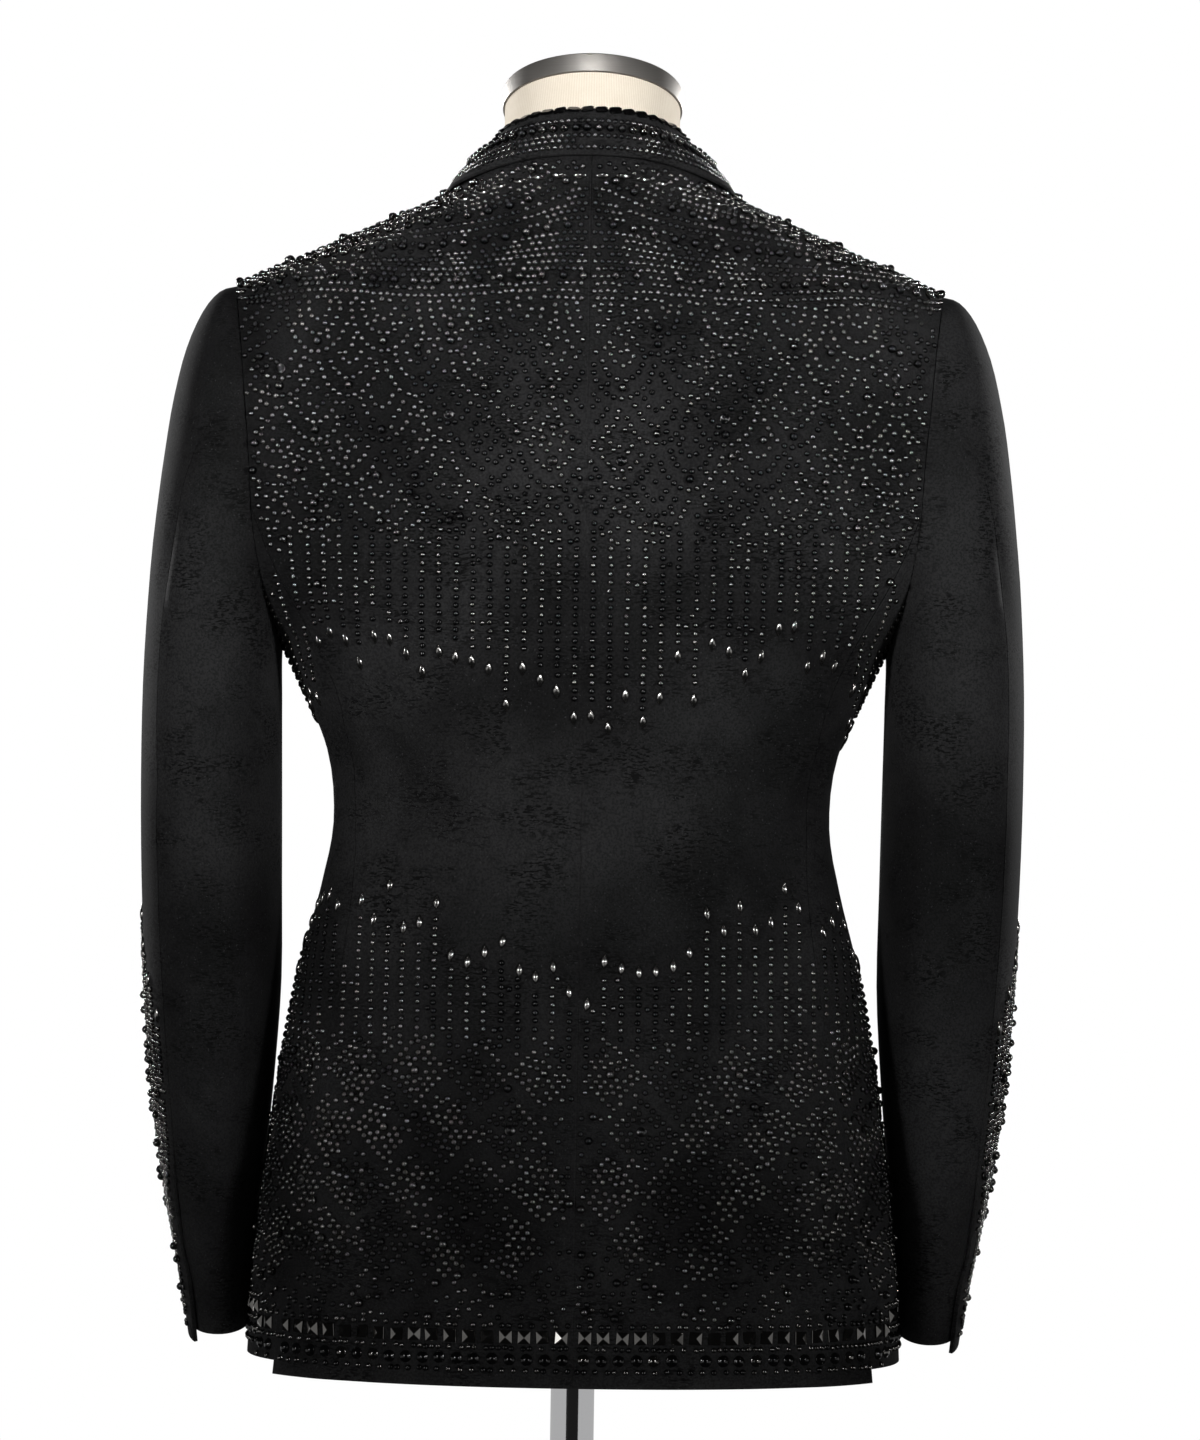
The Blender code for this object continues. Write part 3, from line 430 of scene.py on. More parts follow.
def sidePanel(side, name, material):
    count = round((armhole["backSeam"] - armhole["frontSeam"]) / armhole["step"])
    levels = [hems["side"]] + lowLevels + [float(stationHeight(armhole["backSeam"]))]
    rows = edged(np.arange((len(levels) - 1) * cloth["finer"] + 1) / cloth["finer"])
    level = edged(refined(levels, cloth["finer"]))[:, None]
    column = edged(refined(np.arange(count + 1), cloth["finer"]))[None, :]
    station = armhole["backSeam"] - armhole["step"] * column
    top = stationHeight(station)
    topAngle = armholeAngle(top, station < -90)
    lowStart, lowEnd = sideSeams(top)
    topShare = (topAngle - lowStart) / (lowEnd - lowStart)
    height = sideHeight(level, top)
    start, end = sideSeams(height)
    share = blend(column / count, topShare, ease(rows[:, None] / (len(levels) - 1)))
    angle = blend(start, end, share)
    angle[-1] = topAngle[0]
    underlap = 0.018 * ease((hems["ventTop"] - height) / hems["ventFade"])
    angle = angle - underlap / 0.16 * np.maximum(0, 1 - column)
    normal = bodyNormal(angle, height)
    grid = bodyPoint(angle, height) - normal * bodyCrease(angle, height, side)[..., None]
    return clothWall(name, grid, normal, material, side)


def frontOuterEdge(height):
    return panelEdge(sideFrontSeam, height, True, armhole["frontSeam"])


def frontInnerEdge(height):
    return angleAt(atHeight(frontEdge, height, "x"), height, True)


def frontSurface(angle, height, side):
    point = bodyPoint(angle, height)
    normal = bodyNormal(angle, height)
    inset = cloth["lap"] * (1 - ease((point[..., 0] - 0.024) / 0.040)) if side < 0 else 0.0
    return point - normal * (inset + bodyCrease(angle, height, side))[..., None], normal


def frontPanel(side, name, material):
    stations = [-150, -165, 180, 165, 150, 135, 120, 105, 90]
    top = float(stationHeight(armhole["frontSeam"]))
    levels = [hems["front"], 0.788] + [float(sideHeight(low, top)) for low in lowLevels]
    levels += [float(stationHeight(s)) for s in stations] + shoulderLevels
    level = edged(refined(levels, cloth["finer"]))[:, None]
    share = edged(refined(np.linspace(0, 1, 10), cloth["finer"]))[None, :]
    low = 0.86
    sink = np.clip((low - level) / (low - hems["front"]), 0, None)
    tall = level + (hems["side"] - hems["front"]) * sink * (1 - ease(share * 1.6))
    start = frontOuterEdge(tall)
    height = neckHeight(tall, start)
    angle = blend(start, frontInnerEdge(height), share)
    grid, normals = frontSurface(angle, height, side)
    return clothWall(name, grid, normals, material, side)


# Sleeve rings: outer and inner edge seen from behind, back and front reach, slope, and the seams' angles.
sleeveRows = namedRows(
    "ring outX   outZ    inX     inZ     back    front   slope  backSeam frontSeam",
    (0, 0.2180, 1.4510, 0.1880, 1.2320, 0.0740, -0.0700, 0.000, 75, 75),
    (1, 0.2290, 1.4475, 0.1878, 1.2285, 0.0750, -0.0715, 0.000, 72, 75),
    (2, 0.2395, 1.4345, 0.1876, 1.2250, 0.0755, -0.0730, 0.000, 68, 75),
    (3, 0.2490, 1.4120, 0.1875, 1.2215, 0.0757, -0.0740, 0.000, 64, 74),
    (4, 0.2560, 1.3830, 0.1874, 1.2175, 0.0755, -0.0750, 0.000, 59, 73),
    (5, 0.2620, 1.3480, 0.1873, 1.2130, 0.0750, -0.0757, 0.000, 54, 72),
    (6, 0.2668, 1.3070, 0.1872, 1.2070, 0.0740, -0.0762, 0.000, 50, 71),
    (7, 0.2705, 1.2580, 0.1870, 1.1970, 0.0725, -0.0767, 0.000, 47, 70),
    (8, 0.2730, 1.2050, 0.1868, 1.1780, 0.0705, -0.0770, 0.000, 46, 69),
    (9, 0.2735, 1.1450, 0.1862, 1.1350, 0.0670, -0.0780, 0.000, 46, 68),
    (10, 0.2725, 1.0850, 0.1856, 1.0800, 0.0615, -0.0800, 0.010, 47, 67),
    (11, 0.2700, 1.0250, 0.1852, 1.0220, 0.0540, -0.0830, 0.020, 49, 66),
    (12, 0.2660, 0.9700, 0.1884, 0.9700, 0.0450, -0.0860, 0.040, 51, 65),
    (13, 0.2605, 0.9200, 0.1928, 0.9200, 0.0350, -0.0895, 0.060, 52, 64),
    (14, 0.2540, 0.8800, 0.1966, 0.8800, 0.0260, -0.0925, 0.080, 51, 63),
    (15, 0.2470, 0.8430, 0.1992, 0.8430, 0.0165, -0.0955, 0.100, 49, 62),
    (16, 0.2405, 0.8080, 0.2010, 0.8080, 0.0080, -0.0985, 0.120, 46, 61),
)
sleeve = {"square": 2.15, "last": 16, "headRings": 5, "ventTop": 0.890, "ventLap": 0.006, "flapDrop": 0.006}

# The same for the sleeves: degrees round the sleeve from its outer edge towards the back, and height.
sleeveCreases = {
    "left": (
        (60, 1.150, 130, 1.112, 0.008, 0.0017),
        (70, 1.120, 150, 1.086, 0.007, 0.0014),
        (40, 1.172, 112, 1.138, 0.007, 0.0012),
        (64, 1.092, 118, 1.068, 0.007, 0.0009),
        (84, 1.330, 64, 1.240, 0.012, 0.0014),
        (108, 1.300, 92, 1.220, 0.010, 0.0012),
        (196, 1.140, 262, 1.170, 0.008, 0.0020),
        (206, 1.112, 272, 1.126, 0.007, 0.0016),
        (22, 1.380, 34, 1.280, 0.014, 0.0009),
        (300, 1.360, 284, 1.260, 0.013, 0.0012),
        (70, 0.930, 120, 0.912, 0.008, 0.0009),
    ),
    "right": (
        (56, 1.142, 124, 1.118, 0.008, 0.0015),
        (66, 1.110, 146, 1.074, 0.007, 0.0016),
        (44, 1.164, 120, 1.146, 0.007, 0.0010),
        (70, 1.084, 124, 1.056, 0.007, 0.0010),
        (82, 1.322, 66, 1.228, 0.012, 0.0013),
        (110, 1.292, 90, 1.212, 0.010, 0.0011),
        (200, 1.150, 258, 1.164, 0.008, 0.0018),
        (210, 1.104, 268, 1.118, 0.007, 0.0017),
        (26, 1.372, 32, 1.270, 0.014, 0.0010),
        (298, 1.350, 286, 1.250, 0.013, 0.0011),
        (64, 0.938, 114, 0.916, 0.008, 0.0010),
    ),
}


def ringPoint(t, turn):
    outX, outZ, inX, inZ, back, front = (along(sleeveRows, "ring", t, name)
                                         for name in ("outX", "outZ", "inX", "inZ", "back", "front"))
    c, s = rounded(turn, sleeve["square"])
    reach = (back - front) / 2 * s
    x = (outX + inX) / 2 + (outX - inX) / 2 * c
    z = (outZ + inZ) / 2 + (outZ - inZ) / 2 * c - along(sleeveRows, "ring", t, "slope") * reach
    return stacked(x, (back + front) / 2 + reach, z)


def sleeveTurn(t, turn):
    start = 90 - armhole["sleeveSeam"]
    back = along(sleeveRows, "ring", t, "backSeam")
    front = along(sleeveRows, "ring", t, "frontSeam")
    over = blend(-front, back, (turn + start) / (2 * start))
    under = blend(back, 360 - front, (turn - start) / (360 - 2 * start))
    return np.where(turn <= start, over, under)


def armholePoint(station):
    height = stationHeight(station)
    return bodyPoint(armholeAngle(height, np.cos(np.radians(station)) < -1e-9), height)


def sleevePoint(t, turn):
    point = ringPoint(t, np.radians(sleeveTurn(t, turn)))
    lost = armholePoint(90 - turn) - ringPoint(np.zeros_like(turn, dtype=float), np.radians(turn))
    share = np.where(t < sleeve["headRings"], 1 - ease(t / sleeve["headRings"]), 0.0)
    return point + lost * share[..., None]


def sleeveNormal(t, turn):
    low = np.maximum(0.0, t - 0.05)
    high = np.minimum(float(sleeve["last"]), t + 0.05)
    down = sleevePoint(high, turn) - sleevePoint(low, turn)
    onward = sleevePoint(t, turn + 1.0) - sleevePoint(t, turn - 1.0)
    return unit(np.cross(down, onward))


def sleeveSurface(t, turn, side, top):
    t, turn = np.broadcast_arrays(np.asarray(t, dtype=float), np.asarray(turn, dtype=float))
    point = sleevePoint(t, turn)
    normal = sleeveNormal(t, turn)
    z = point[..., 2]
    if top:
        lap = sleeve["ventLap"] * ease((sleeve["ventTop"] - hems["ventFade"] - z) / hems["ventFade"])
        onward = unit(sleevePoint(t, turn + 2) - point)
        near = np.clip((turn - 60) / 15, 0, 1)
        point = point + onward * (lap * near)[..., None]
    lift = -creased(sleeveCreases, side, turn, z, creaseScale["sleeve"])
    if top:
        down = ease((sleeve["ventTop"] + hems["ventFade"] - z) / hems["ventFade"])
        lift = lift + cloth["lap"] * down * ease((turn - 45) / 20)
    point = point + normal * lift[..., None]
    if top:
        lowest = np.clip(t - (sleeve["last"] - 1), 0, 1)
        point[..., 2] -= sleeve["flapDrop"] * ease((turn - 30) / 45) * lowest
    return point, normal


def sleevePiece(side, name, material, top):
    seam = 90 - armhole["sleeveSeam"]
    first, last = (-seam, seam) if top else (seam, 360 - seam)
    count = round((last - first) / armhole["step"]) * cloth["finer"]
    turn = edged(np.linspace(last, first, count + 1))[None, :]
    t = edged(np.linspace(sleeve["last"], 0, sleeve["last"] * cloth["finer"] + 1))[:, None]
    grid, normals = sleeveSurface(t, turn, side, top)
    step = unit(sleevePoint(np.full(turn.size, 0.15), turn[0]) - sleevePoint(np.zeros(turn.size), turn[0]))
    grid[-1] += step * cloth["seamGap"]
    return clothWall(name, grid, normals, material, side)


# Collar stations from centre back to the notch: the fold's points and where the fall's edge lies.
collarRows = namedRows(
    "foldX   foldY    foldZ   edgeX   edgeHeight inFront",
    (0.0000, 0.0590, 1.5585, 0.0000, 1.5290, 0),
    (0.0160, 0.0572, 1.5578, 0.0185, 1.5285, 0),
    (0.0310, 0.0505, 1.5558, 0.0370, 1.5265, 0),
    (0.0440, 0.0385, 1.5520, 0.0540, 1.5225, 0),
    (0.0530, 0.0225, 1.5475, 0.0700, 1.5175, 0),
    (0.0580, 0.0030, 1.5420, 0.0845, 1.5115, 0),
    (0.0593, -0.0070, 1.5380, 0.0896, 1.5080, 1),
    (0.0600, -0.0180, 1.5325, 0.0940, 1.5020, 1),
    (0.0605, -0.0360, 1.5200, 0.1000, 1.4860, 1),
    (0.0600, -0.0575, 1.5030, 0.1055, 1.4640, 1),
    (0.0580, -0.0755, 1.4840, 0.1100, 1.4400, 1),
)
collarCut = {"lay": 0.0017, "footGap": 0.0008, "kneeGap": 0.0024, "frontDrop": 0.008, "lapelClear": 0.0040,
             "cornerRound": 0.0007, "finer": 6}


def standFoot(i):
    if not collarRows["inFront"][i]:
        angle = angleAt(collarRows["edgeX"][i], collarRows["edgeHeight"][i], False)
        return bodyPoint(angle, neckHeight(neck["back"], angle)) + np.array([0, 0, collarCut["footGap"]])
    height = collarRows["foldZ"][i] - collarCut["frontDrop"]
    angle = angleAt(atHeight(frontEdge, height, "x") - collarCut["footGap"], height, True)
    return bodyPoint(angle, height) + bodyNormal(angle, height) * collarCut["footGap"]


def collarSection(i):
    thick = cloth["thickness"]
    fold = np.array([collarRows[name][i] for name in ("foldX", "foldY", "foldZ")])
    height = collarRows["edgeHeight"][i]
    angle = angleAt(collarRows["edgeX"][i], height, bool(collarRows["inFront"][i]))
    normal = bodyNormal(angle, height)
    under = bodyPoint(angle, height) + normal * collarCut["lay"]
    foot = standFoot(i)
    rise = unit(fold - foot)
    out = unit(normal - rise * normal.dot(rise))
    knee = foot + out * collarCut["kneeGap"]
    return np.array([
        foot - out * thick,
        fold - out * thick - rise * 0.0020,
        fold - out * thick * 0.4 + rise * 0.0004,
        fold + out * thick * 0.6 + rise * 0.0004,
        fold + out * (thick + 0.0004) - rise * 0.0018,
        knee + out * thick,
        under + normal * thick,
        under,
        knee,
        fold + out * 0.0005 - rise * 0.0032,
        fold - rise * 0.0032,
        foot,
    ])


collarStations = np.array([collarSection(i) for i in range(len(collarRows["foldX"]))])


def collarLine(corner, station):  # one corner of the section, at stations counted from centre back
    index = np.arange(len(collarStations), dtype=float)
    columns = {"station": index}
    columns.update({axis: collarStations[:, corner, i] for i, axis in enumerate("xyz")})
    sign = np.sign(station) + (station == 0)
    x, y, z = (along(columns, "station", np.abs(station), axis) for axis in "xyz")
    return stacked(x * sign, y, z)


def collarPiece(name, material):
    last = len(collarStations) - 1
    station = np.linspace(-last, last, 2 * last * collarCut["finer"] + 1)
    loops = np.stack([collarLine(corner, station) for corner in range(12)], axis=1)
    before = loops - np.roll(loops, 1, axis=1)
    after = np.roll(loops, -1, axis=1) - loops
    lengths = [np.linalg.norm(v, axis=2, keepdims=True) for v in (before, after)]
    cuts = [np.minimum(length * 0.3, collarCut["cornerRound"]) for length in lengths]
    first = loops - before / lengths[0] * cuts[0]
    second = loops + after / lengths[1] * cuts[1]
    middle = (first + second) / 2 * 0.5 + loops * 0.5
    rings = np.stack([first, middle, second], axis=2).reshape(len(station), -1, 3)
    count = rings.shape[1]
    index = np.arange(rings.shape[0] * count).reshape(-1, count)
    a = index[:-1]
    quads = np.stack([a, index[1:], np.roll(index[1:], -1, axis=1), np.roll(a, -1, axis=1)], axis=2)
    faces = quads.reshape(-1, 4).tolist()
    faces.append(tuple(range(count)))
    faces.append(tuple(reversed(index[-1].tolist())))
    return meshPiece(name, rings, faces, material, 50)


# Lapel rows from the break to the peak: roll line and outer edge, seen from the front.
lapelRows = namedRows(
    "row rollX    rollZ   outX    outZ",
    (0, -0.0165, 1.1720, -0.0080, 1.1740),
    (1, -0.0125, 1.1950, 0.0180, 1.2000),
    (2, -0.0020, 1.2450, 0.0520, 1.2500),
    (3, 0.0090, 1.2950, 0.0790, 1.2980),
    (4, 0.0215, 1.3450, 0.1020, 1.3420),
    (5, 0.0340, 1.3900, 0.1230, 1.3800),
    (6, 0.0430, 1.4250, 0.1420, 1.4180),
)
peakTop = namedRows(
    "share  rise",
    (0.00, 0.0300),
    (0.25, 0.0200),
    (0.50, 0.0070),
    (0.64, -0.0010),
    (0.80, 0.0060),
    (1.00, 0.0160),
)


def lapelSurface(row, share, side):
    last = 6
    above = np.clip(row - last, 0, 1)
    rollX, rollZ, outX, outZ = (along(lapelRows, "row", row, name)
                                for name in ("rollX", "rollZ", "outX", "outZ"))
    z = blend(rollZ, outZ, share)
    start = rollX
    if side < 0:
        start = np.maximum(start, collarCut["lapelClear"] - atHeight(frontEdge, z, "x"))
    x = blend(start, np.maximum(outX, start + collarCut["lapelClear"]), share)
    z = z + above * np.interp(share, peakTop["share"], peakTop["rise"])
    x = x + above * 0.008 * share
    angle = angleAt(x, z, True)
    point, normal = frontSurface(angle, z, side)
    soft = 0.0006 * np.sin(math.pi * share) * ease(row / 2)  # the lapel's belly
    return point + normal * (collarCut["lay"] + cloth["thickness"] + soft)[..., None], normal


def lapelPiece(side, name, material):
    row = edged(np.linspace(0, 7, 43))[:, None]
    share = edged(refined(peakTop["share"], 5))[::-1][None, :]
    grid, normals = lapelSurface(row, share, side)
    return clothWall(name, grid, normals, material, side)


# Finishes
class Signal:  # one socket of a node tree, so that shader maths reads as an expression
    def __init__(self, nodes, socket):
        self.nodes = nodes
        self.socket = socket

    def maths(self, operation, *values):
        return self.nodes.node("ShaderNodeMath", {"operation": operation}, dict(enumerate(values)))

    def __add__(self, other):
        return self.maths("ADD", self, other)

    def __radd__(self, other):
        return self.maths("ADD", other, self)

    def __sub__(self, other):
        return self.maths("SUBTRACT", self, other)

    def __rsub__(self, other):
        return self.maths("SUBTRACT", other, self)

    def __mul__(self, other):
        return self.maths("MULTIPLY", self, other)

    def __rmul__(self, other):
        return self.maths("MULTIPLY", other, self)

    def __gt__(self, other):
        return self.maths("GREATER_THAN", self, other)

    def __lt__(self, other):
        return self.maths("LESS_THAN", self, other)


class Nodes:  # a node tree
    def __init__(self, tree):
        self.tree = tree

    def node(self, kind, settings=None, inputs=None, output=0):
        made = self.tree.nodes.new(kind)
        for key, value in (settings or {}).items():
            if key == "stops":
                ramp = made.color_ramp
                for i, (place, shade) in enumerate(value):
                    stop = ramp.elements[i] if i < 2 else ramp.elements.new(place)
                    stop.position = place
                    stop.color = (*shade, 1.0) if isinstance(shade, tuple) else (shade, shade, shade, 1.0)
            else:
                setattr(made, key, value)
        for key, value in (inputs or {}).items():
            self.connect(value, made.inputs[key])
        return Signal(self, made.outputs[output])

    def connect(self, value, socket):
        if isinstance(value, Signal):
            self.tree.links.new(value.socket, socket)
        elif isinstance(value, tuple) and socket.type == "RGBA":
            socket.default_value = (*value, 1.0)
        else:
            socket.default_value = value

    def axis(self, coordinates, name):  # X, Y or Z of the tree's own coordinates
        whole = self.node("ShaderNodeTexCoord", output=coordinates)
        return self.node("ShaderNodeSeparateXYZ", None, {0: whole}, name)


class Finish(Nodes):  # a material and its Principled shader
    def __init__(self, name, constants):
        self.material = bpy.data.materials.new(name)
        self.material.use_nodes = True
        super().__init__(self.material.node_tree)
        self.shader = self.tree.nodes["Principled BSDF"]
        for key, value in constants.items():
            self.connect(value, self.shader.inputs[key])

    def place(self, scale):  # the object's own coordinates in metres, scaled
        whole = self.node("ShaderNodeTexCoord", output="Object")
        return self.node("ShaderNodeVectorMath", {"operation": "MULTIPLY"}, {0: whole, 1: scale})

    def noise(self, scale, detail=2.0, roughness=0.5):
        inputs = {"Vector": self.place(scale), "Scale": 1.0, "Detail": detail, "Roughness": roughness}
        return self.node("ShaderNodeTexNoise", {"noise_dimensions": "3D"}, inputs)

    def ramp(self, value, low, high):  # 0 below low, 1 above high
        return self.node("ShaderNodeValToRGB", {"stops": ((low, 0.0), (high, 1.0))}, {"Fac": value})

    def mix(self, factor, a, b):
        return self.node("ShaderNodeMix", {"data_type": "RGBA"}, {0: factor, 6: a, 7: b}, 2)

    def set(self, key, value):
        self.connect(value, self.shader.inputs[key])

    def bump(self, height, strength, distance):
        inputs = {"Strength": strength, "Distance": distance, "Height": height}
        self.set("Normal", self.node("ShaderNodeBump", None, inputs))


suitingLook = {"pile": (0.0075, 0.0075, 0.0077), "lightPatch": (0.0230, 0.0230, 0.0235),
               "fleck": (0.0014, 0.0014, 0.0015), "speck": (0.0300, 0.0300, 0.0310),
               "fleckShare": 0.85, "grain": 0.45, "roughness": 0.88, "sheen": 0.03}


def suitingFinish():  # matte jacquard with a fine pile and patches of short broken horizontal flecks
    finish = Finish("jacquardSuiting", {"Roughness": suitingLook["roughness"], "Specular IOR Level": 0.10,
                                        "Sheen Weight": suitingLook["sheen"], "Sheen Roughness": 0.55,
                                        "Sheen Tint": (0.30, 0.30, 0.32)})
    flecks = finish.ramp(finish.noise((260, 260, 800), 1.0, 0.6), 0.50, 0.58)
    patches = finish.ramp(finish.noise((24, 24, 34), 3.0, 0.65), 0.44, 0.60)
    cloudy = finish.ramp(finish.noise((9, 9, 7), 3.0, 0.55), 0.36, 0.64)
    grain = finish.ramp(finish.noise((720, 720, 720), 1.0, 0.5), 0.42, 0.62)
    specks = finish.ramp(finish.noise((900, 900, 900), 0.0, 0.5), 0.76, 0.82)
    ground = finish.mix(cloudy, suitingLook["pile"], suitingLook["lightPatch"])
    dark = flecks * patches * suitingLook["fleckShare"]
    dark = dark + grain * (1 - dark) * suitingLook["grain"]
    spun = finish.mix(dark, ground, suitingLook["fleck"])
    finish.set("Base Color", finish.mix(specks, spun, suitingLook["speck"]))
    weave = finish.noise((1700, 1700, 1700), 2.0, 0.6)
    finish.bump(weave * 0.6 + (1 - dark) * 0.5, 0.35, 0.0004)
    return finish.material


satinLook = {"colour": (0.0070, 0.0070, 0.0076), "roughness": 0.34}
liningLook = {"colour": (0.0090, 0.0090, 0.0098), "roughness": 0.30}


def satinFinish(name, look):
    finish = Finish(name, {"Base Color": look["colour"], "Specular IOR Level": 0.35,
                           "Sheen Weight": 0.08, "Sheen Roughness": 0.4})
    threads = finish.noise((220, 220, 2400), 2.0, 0.5)
    finish.set("Roughness", threads * 0.16 + (look["roughness"] - 0.08))
    finish.bump(threads, 0.12, 0.0002)
    return finish.material


formLook = {"shade": (0.640, 0.545, 0.420), "light": (0.920, 0.845, 0.730), "ribs": 190, "roughness": 0.9}


def formClothFinish():  # ecru cotton with fine upright ribs round the form
    finish = Finish("formCotton", {"Roughness": formLook["roughness"], "Specular IOR Level": 0.15,
                                   "Sheen Weight": 0.15, "Sheen Roughness": 0.5,
                                   "Sheen Tint": (1.0, 0.96, 0.88)})
    turn = finish.node("ShaderNodeMath", {"operation": "ARCTAN2"},
                       {0: finish.axis("Object", "X"), 1: finish.axis("Object", "Y")})
    wobble = finish.noise((160, 160, 25), 2.0, 0.5)
    wave = finish.node("ShaderNodeMath", {"operation": "SINE"}, {0: turn * formLook["ribs"] + wobble * 3.0})
    ribs = wave * 0.5 + 0.5
    weave = finish.noise((1300, 1300, 900), 2.0, 0.6)
    spots = finish.noise((60, 60, 60), 3.0, 0.6)
    tone = ribs * 0.28 + weave * 0.3 + spots * 0.42
    finish.set("Base Color", finish.mix(tone, formLook["shade"], formLook["light"]))
    finish.bump(ribs * 0.5 + weave * 0.5, 0.30, 0.0004)
    return finish.material


gunmetalLook = {"shade": (0.30, 0.282, 0.262), "light": (0.50, 0.475, 0.448), "roughness": 0.38}
chromeLook = {"colour": (0.80, 0.80, 0.81), "roughness": 0.04}
steelLook = {"shade": (0.50, 0.50, 0.51), "light": (0.64, 0.64, 0.65), "roughness": 0.36, "metallic": 0.5}


def gunmetalFinish():  # brushed round the cap's rim
    finish = Finish("gunmetal", {"Metallic": 1.0, "Anisotropic": 0.4})
    brushed = finish.noise((30, 30, 1800), 3.0, 0.6)
    cloudy = finish.noise((22, 22, 22), 2.0, 0.5)
    tone = brushed * 0.6 + cloudy * 0.4
    finish.set("Base Color", finish.mix(tone, gunmetalLook["shade"], gunmetalLook["light"]))
    finish.set("Roughness", brushed * 0.14 + gunmetalLook["roughness"])
    finish.bump(brushed, 0.10, 0.0002)
    return finish.material


def chromeFinish():
    finish = Finish("poleChrome", {"Base Color": chromeLook["colour"], "Metallic": 1.0})
    smears = finish.noise((40, 40, 9), 3.0, 0.6)
    finish.set("Roughness", smears * 0.08 + chromeLook["roughness"])
    return finish.material


def steelFinish():
    finish = Finish("baseSteel", {"Metallic": steelLook["metallic"]})
    cloudy = finish.noise((18, 18, 18), 3.0, 0.6)
    finish.set("Base Color", finish.mix(cloudy, steelLook["shade"], steelLook["light"]))
    finish.set("Roughness", cloudy * 0.14 + steelLook["roughness"])
    return finish.material


suiting = suitingFinish()
satin = satinFinish("blackSatin", satinLook)
lining = satinFinish("satinLining", liningLook)
print("finishes made")

# Cloth pieces
pieces = {}
for side, hand in ((1, "left"), (-1, "right")):
    pieces[f"back_{hand}"] = backPanel(side, f"backCloth_{hand}", suiting)
    pieces[f"side_{hand}"] = sidePanel(side, f"sideCloth_{hand}", suiting)
    pieces[f"front_{hand}"] = frontPanel(side, f"frontCloth_{hand}", suiting)
    pieces[f"sleeve_top_{hand}"] = sleevePiece(side, f"sleeveTopCloth_{hand}", suiting, True)
    pieces[f"sleeve_under_{hand}"] = sleevePiece(side, f"sleeveUnderCloth_{hand}", suiting, False)
    pieces[f"lapel_{hand}"] = lapelPiece(side, f"lapelCloth_{hand}", satin)
pieces["collar"] = collarPiece("collarCloth", suiting)
for nodeName, piece in pieces.items():
    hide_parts(nodeName)
print("cloth pieces made:", len(pieces))

# Dress form, stand and button, turned finer than their solids
form = {"bottom": 0.900, "middle": -0.002, "rest": 0.0011, "neckTilt": math.radians(21), "gap": 0.0003,
        "segments": 144, "shoulderEnd": 0.207, "shoulderBend": 0.017, "shoulderFoot": 1.446}
formRows = namedRows(
    "height half back front square",
    (0.915, 0.1480, 0.0880, -0.0860, 2.15), (0.960, 0.1560, 0.0960, -0.0950, 2.15),
    (1.010, 0.1560, 0.0920, -0.0960, 2.15), (1.070, 0.1440, 0.0810, -0.0940, 2.15),
    (1.123, 0.1375, 0.0765, -0.0950, 2.15), (1.170, 0.1420, 0.0800, -0.1000, 2.15),
    (1.232, 0.1600, 0.0930, -0.1080, 2.20), (1.300, 0.1760, 0.1030, -0.1110, 2.25),
    (1.360, 0.1890, 0.1060, -0.1080, 2.30), (1.400, 0.1970, 0.1030, -0.1020, 2.35),
    (1.428, 0.1950, 0.0915, -0.0920, 2.34),
)
neckRows = namedRows(
    "height middle radius tilt",
    (1.5160, 0.0035, 0.0585, 0.35), (1.5300, 0.0005, 0.0560, 0.60), (1.5470, -0.0030, 0.0545, 0.85),
    (1.5630, -0.0060, 0.0545, 1.00),
)
shoulderRings = (1.446, 1.4515, 1.457, 1.464, 1.472, 1.481, 1.490, 1.499, 1.507)
capLook = {"thick": 0.0125, "overhang": 0.0012, "bevel": 0.0010}
stand = {"pole": 0.0135, "base": 0.190, "edge": 0.008, "rise": 0.006, "bend": 0.55, "bendRise": 0.004,
         "crown": 0.20}
buttonLook = {"radius": 0.0105, "height": 1.140, "lay": 0.0009, "segments": 48}
turns = np.linspace(0, 2 * math.pi, form["segments"], endpoint=False)


def ringFaces(rings, count):  # quads between rings of the same number of points
    steps = [(i, (i + 1) % count) for i in range(count)]
    return [(low + i, low + j, low + count + j, low + count + i)
            for low in range(0, (rings - 1) * count, count) for i, j in steps]


def ringsPiece(name, rings, material, smooth=40):  # closed solid through rings, bottom to top
    count = len(rings[0])
    points = np.concatenate(rings)
    ends = [tuple(range(count))[::-1], tuple(range(len(points) - count, len(points)))]
    return meshPiece(name, points, ends + ringFaces(len(rings), count), material, smooth)


def leaningCircle(middle, height, radius, tilt, around=turns):
    y = radius * np.sin(around)
    return stacked(radius * np.cos(around), middle + y * math.cos(tilt), height + y * math.sin(tilt))


def formRing(height, share=1.0, rise=0.0):
    row = {key: float(atHeight(formRows, np.array([height]), key)[0])
           for key in ("half", "back", "front", "square")}
    x, y = rounded(turns, row["square"])
    depth = np.where(y > 0, row["back"] * share - form["middle"], form["middle"] - row["front"] * share)
    return stacked(row["half"] * share * x, form["middle"] + depth * y, np.full(len(turns), height + rise))


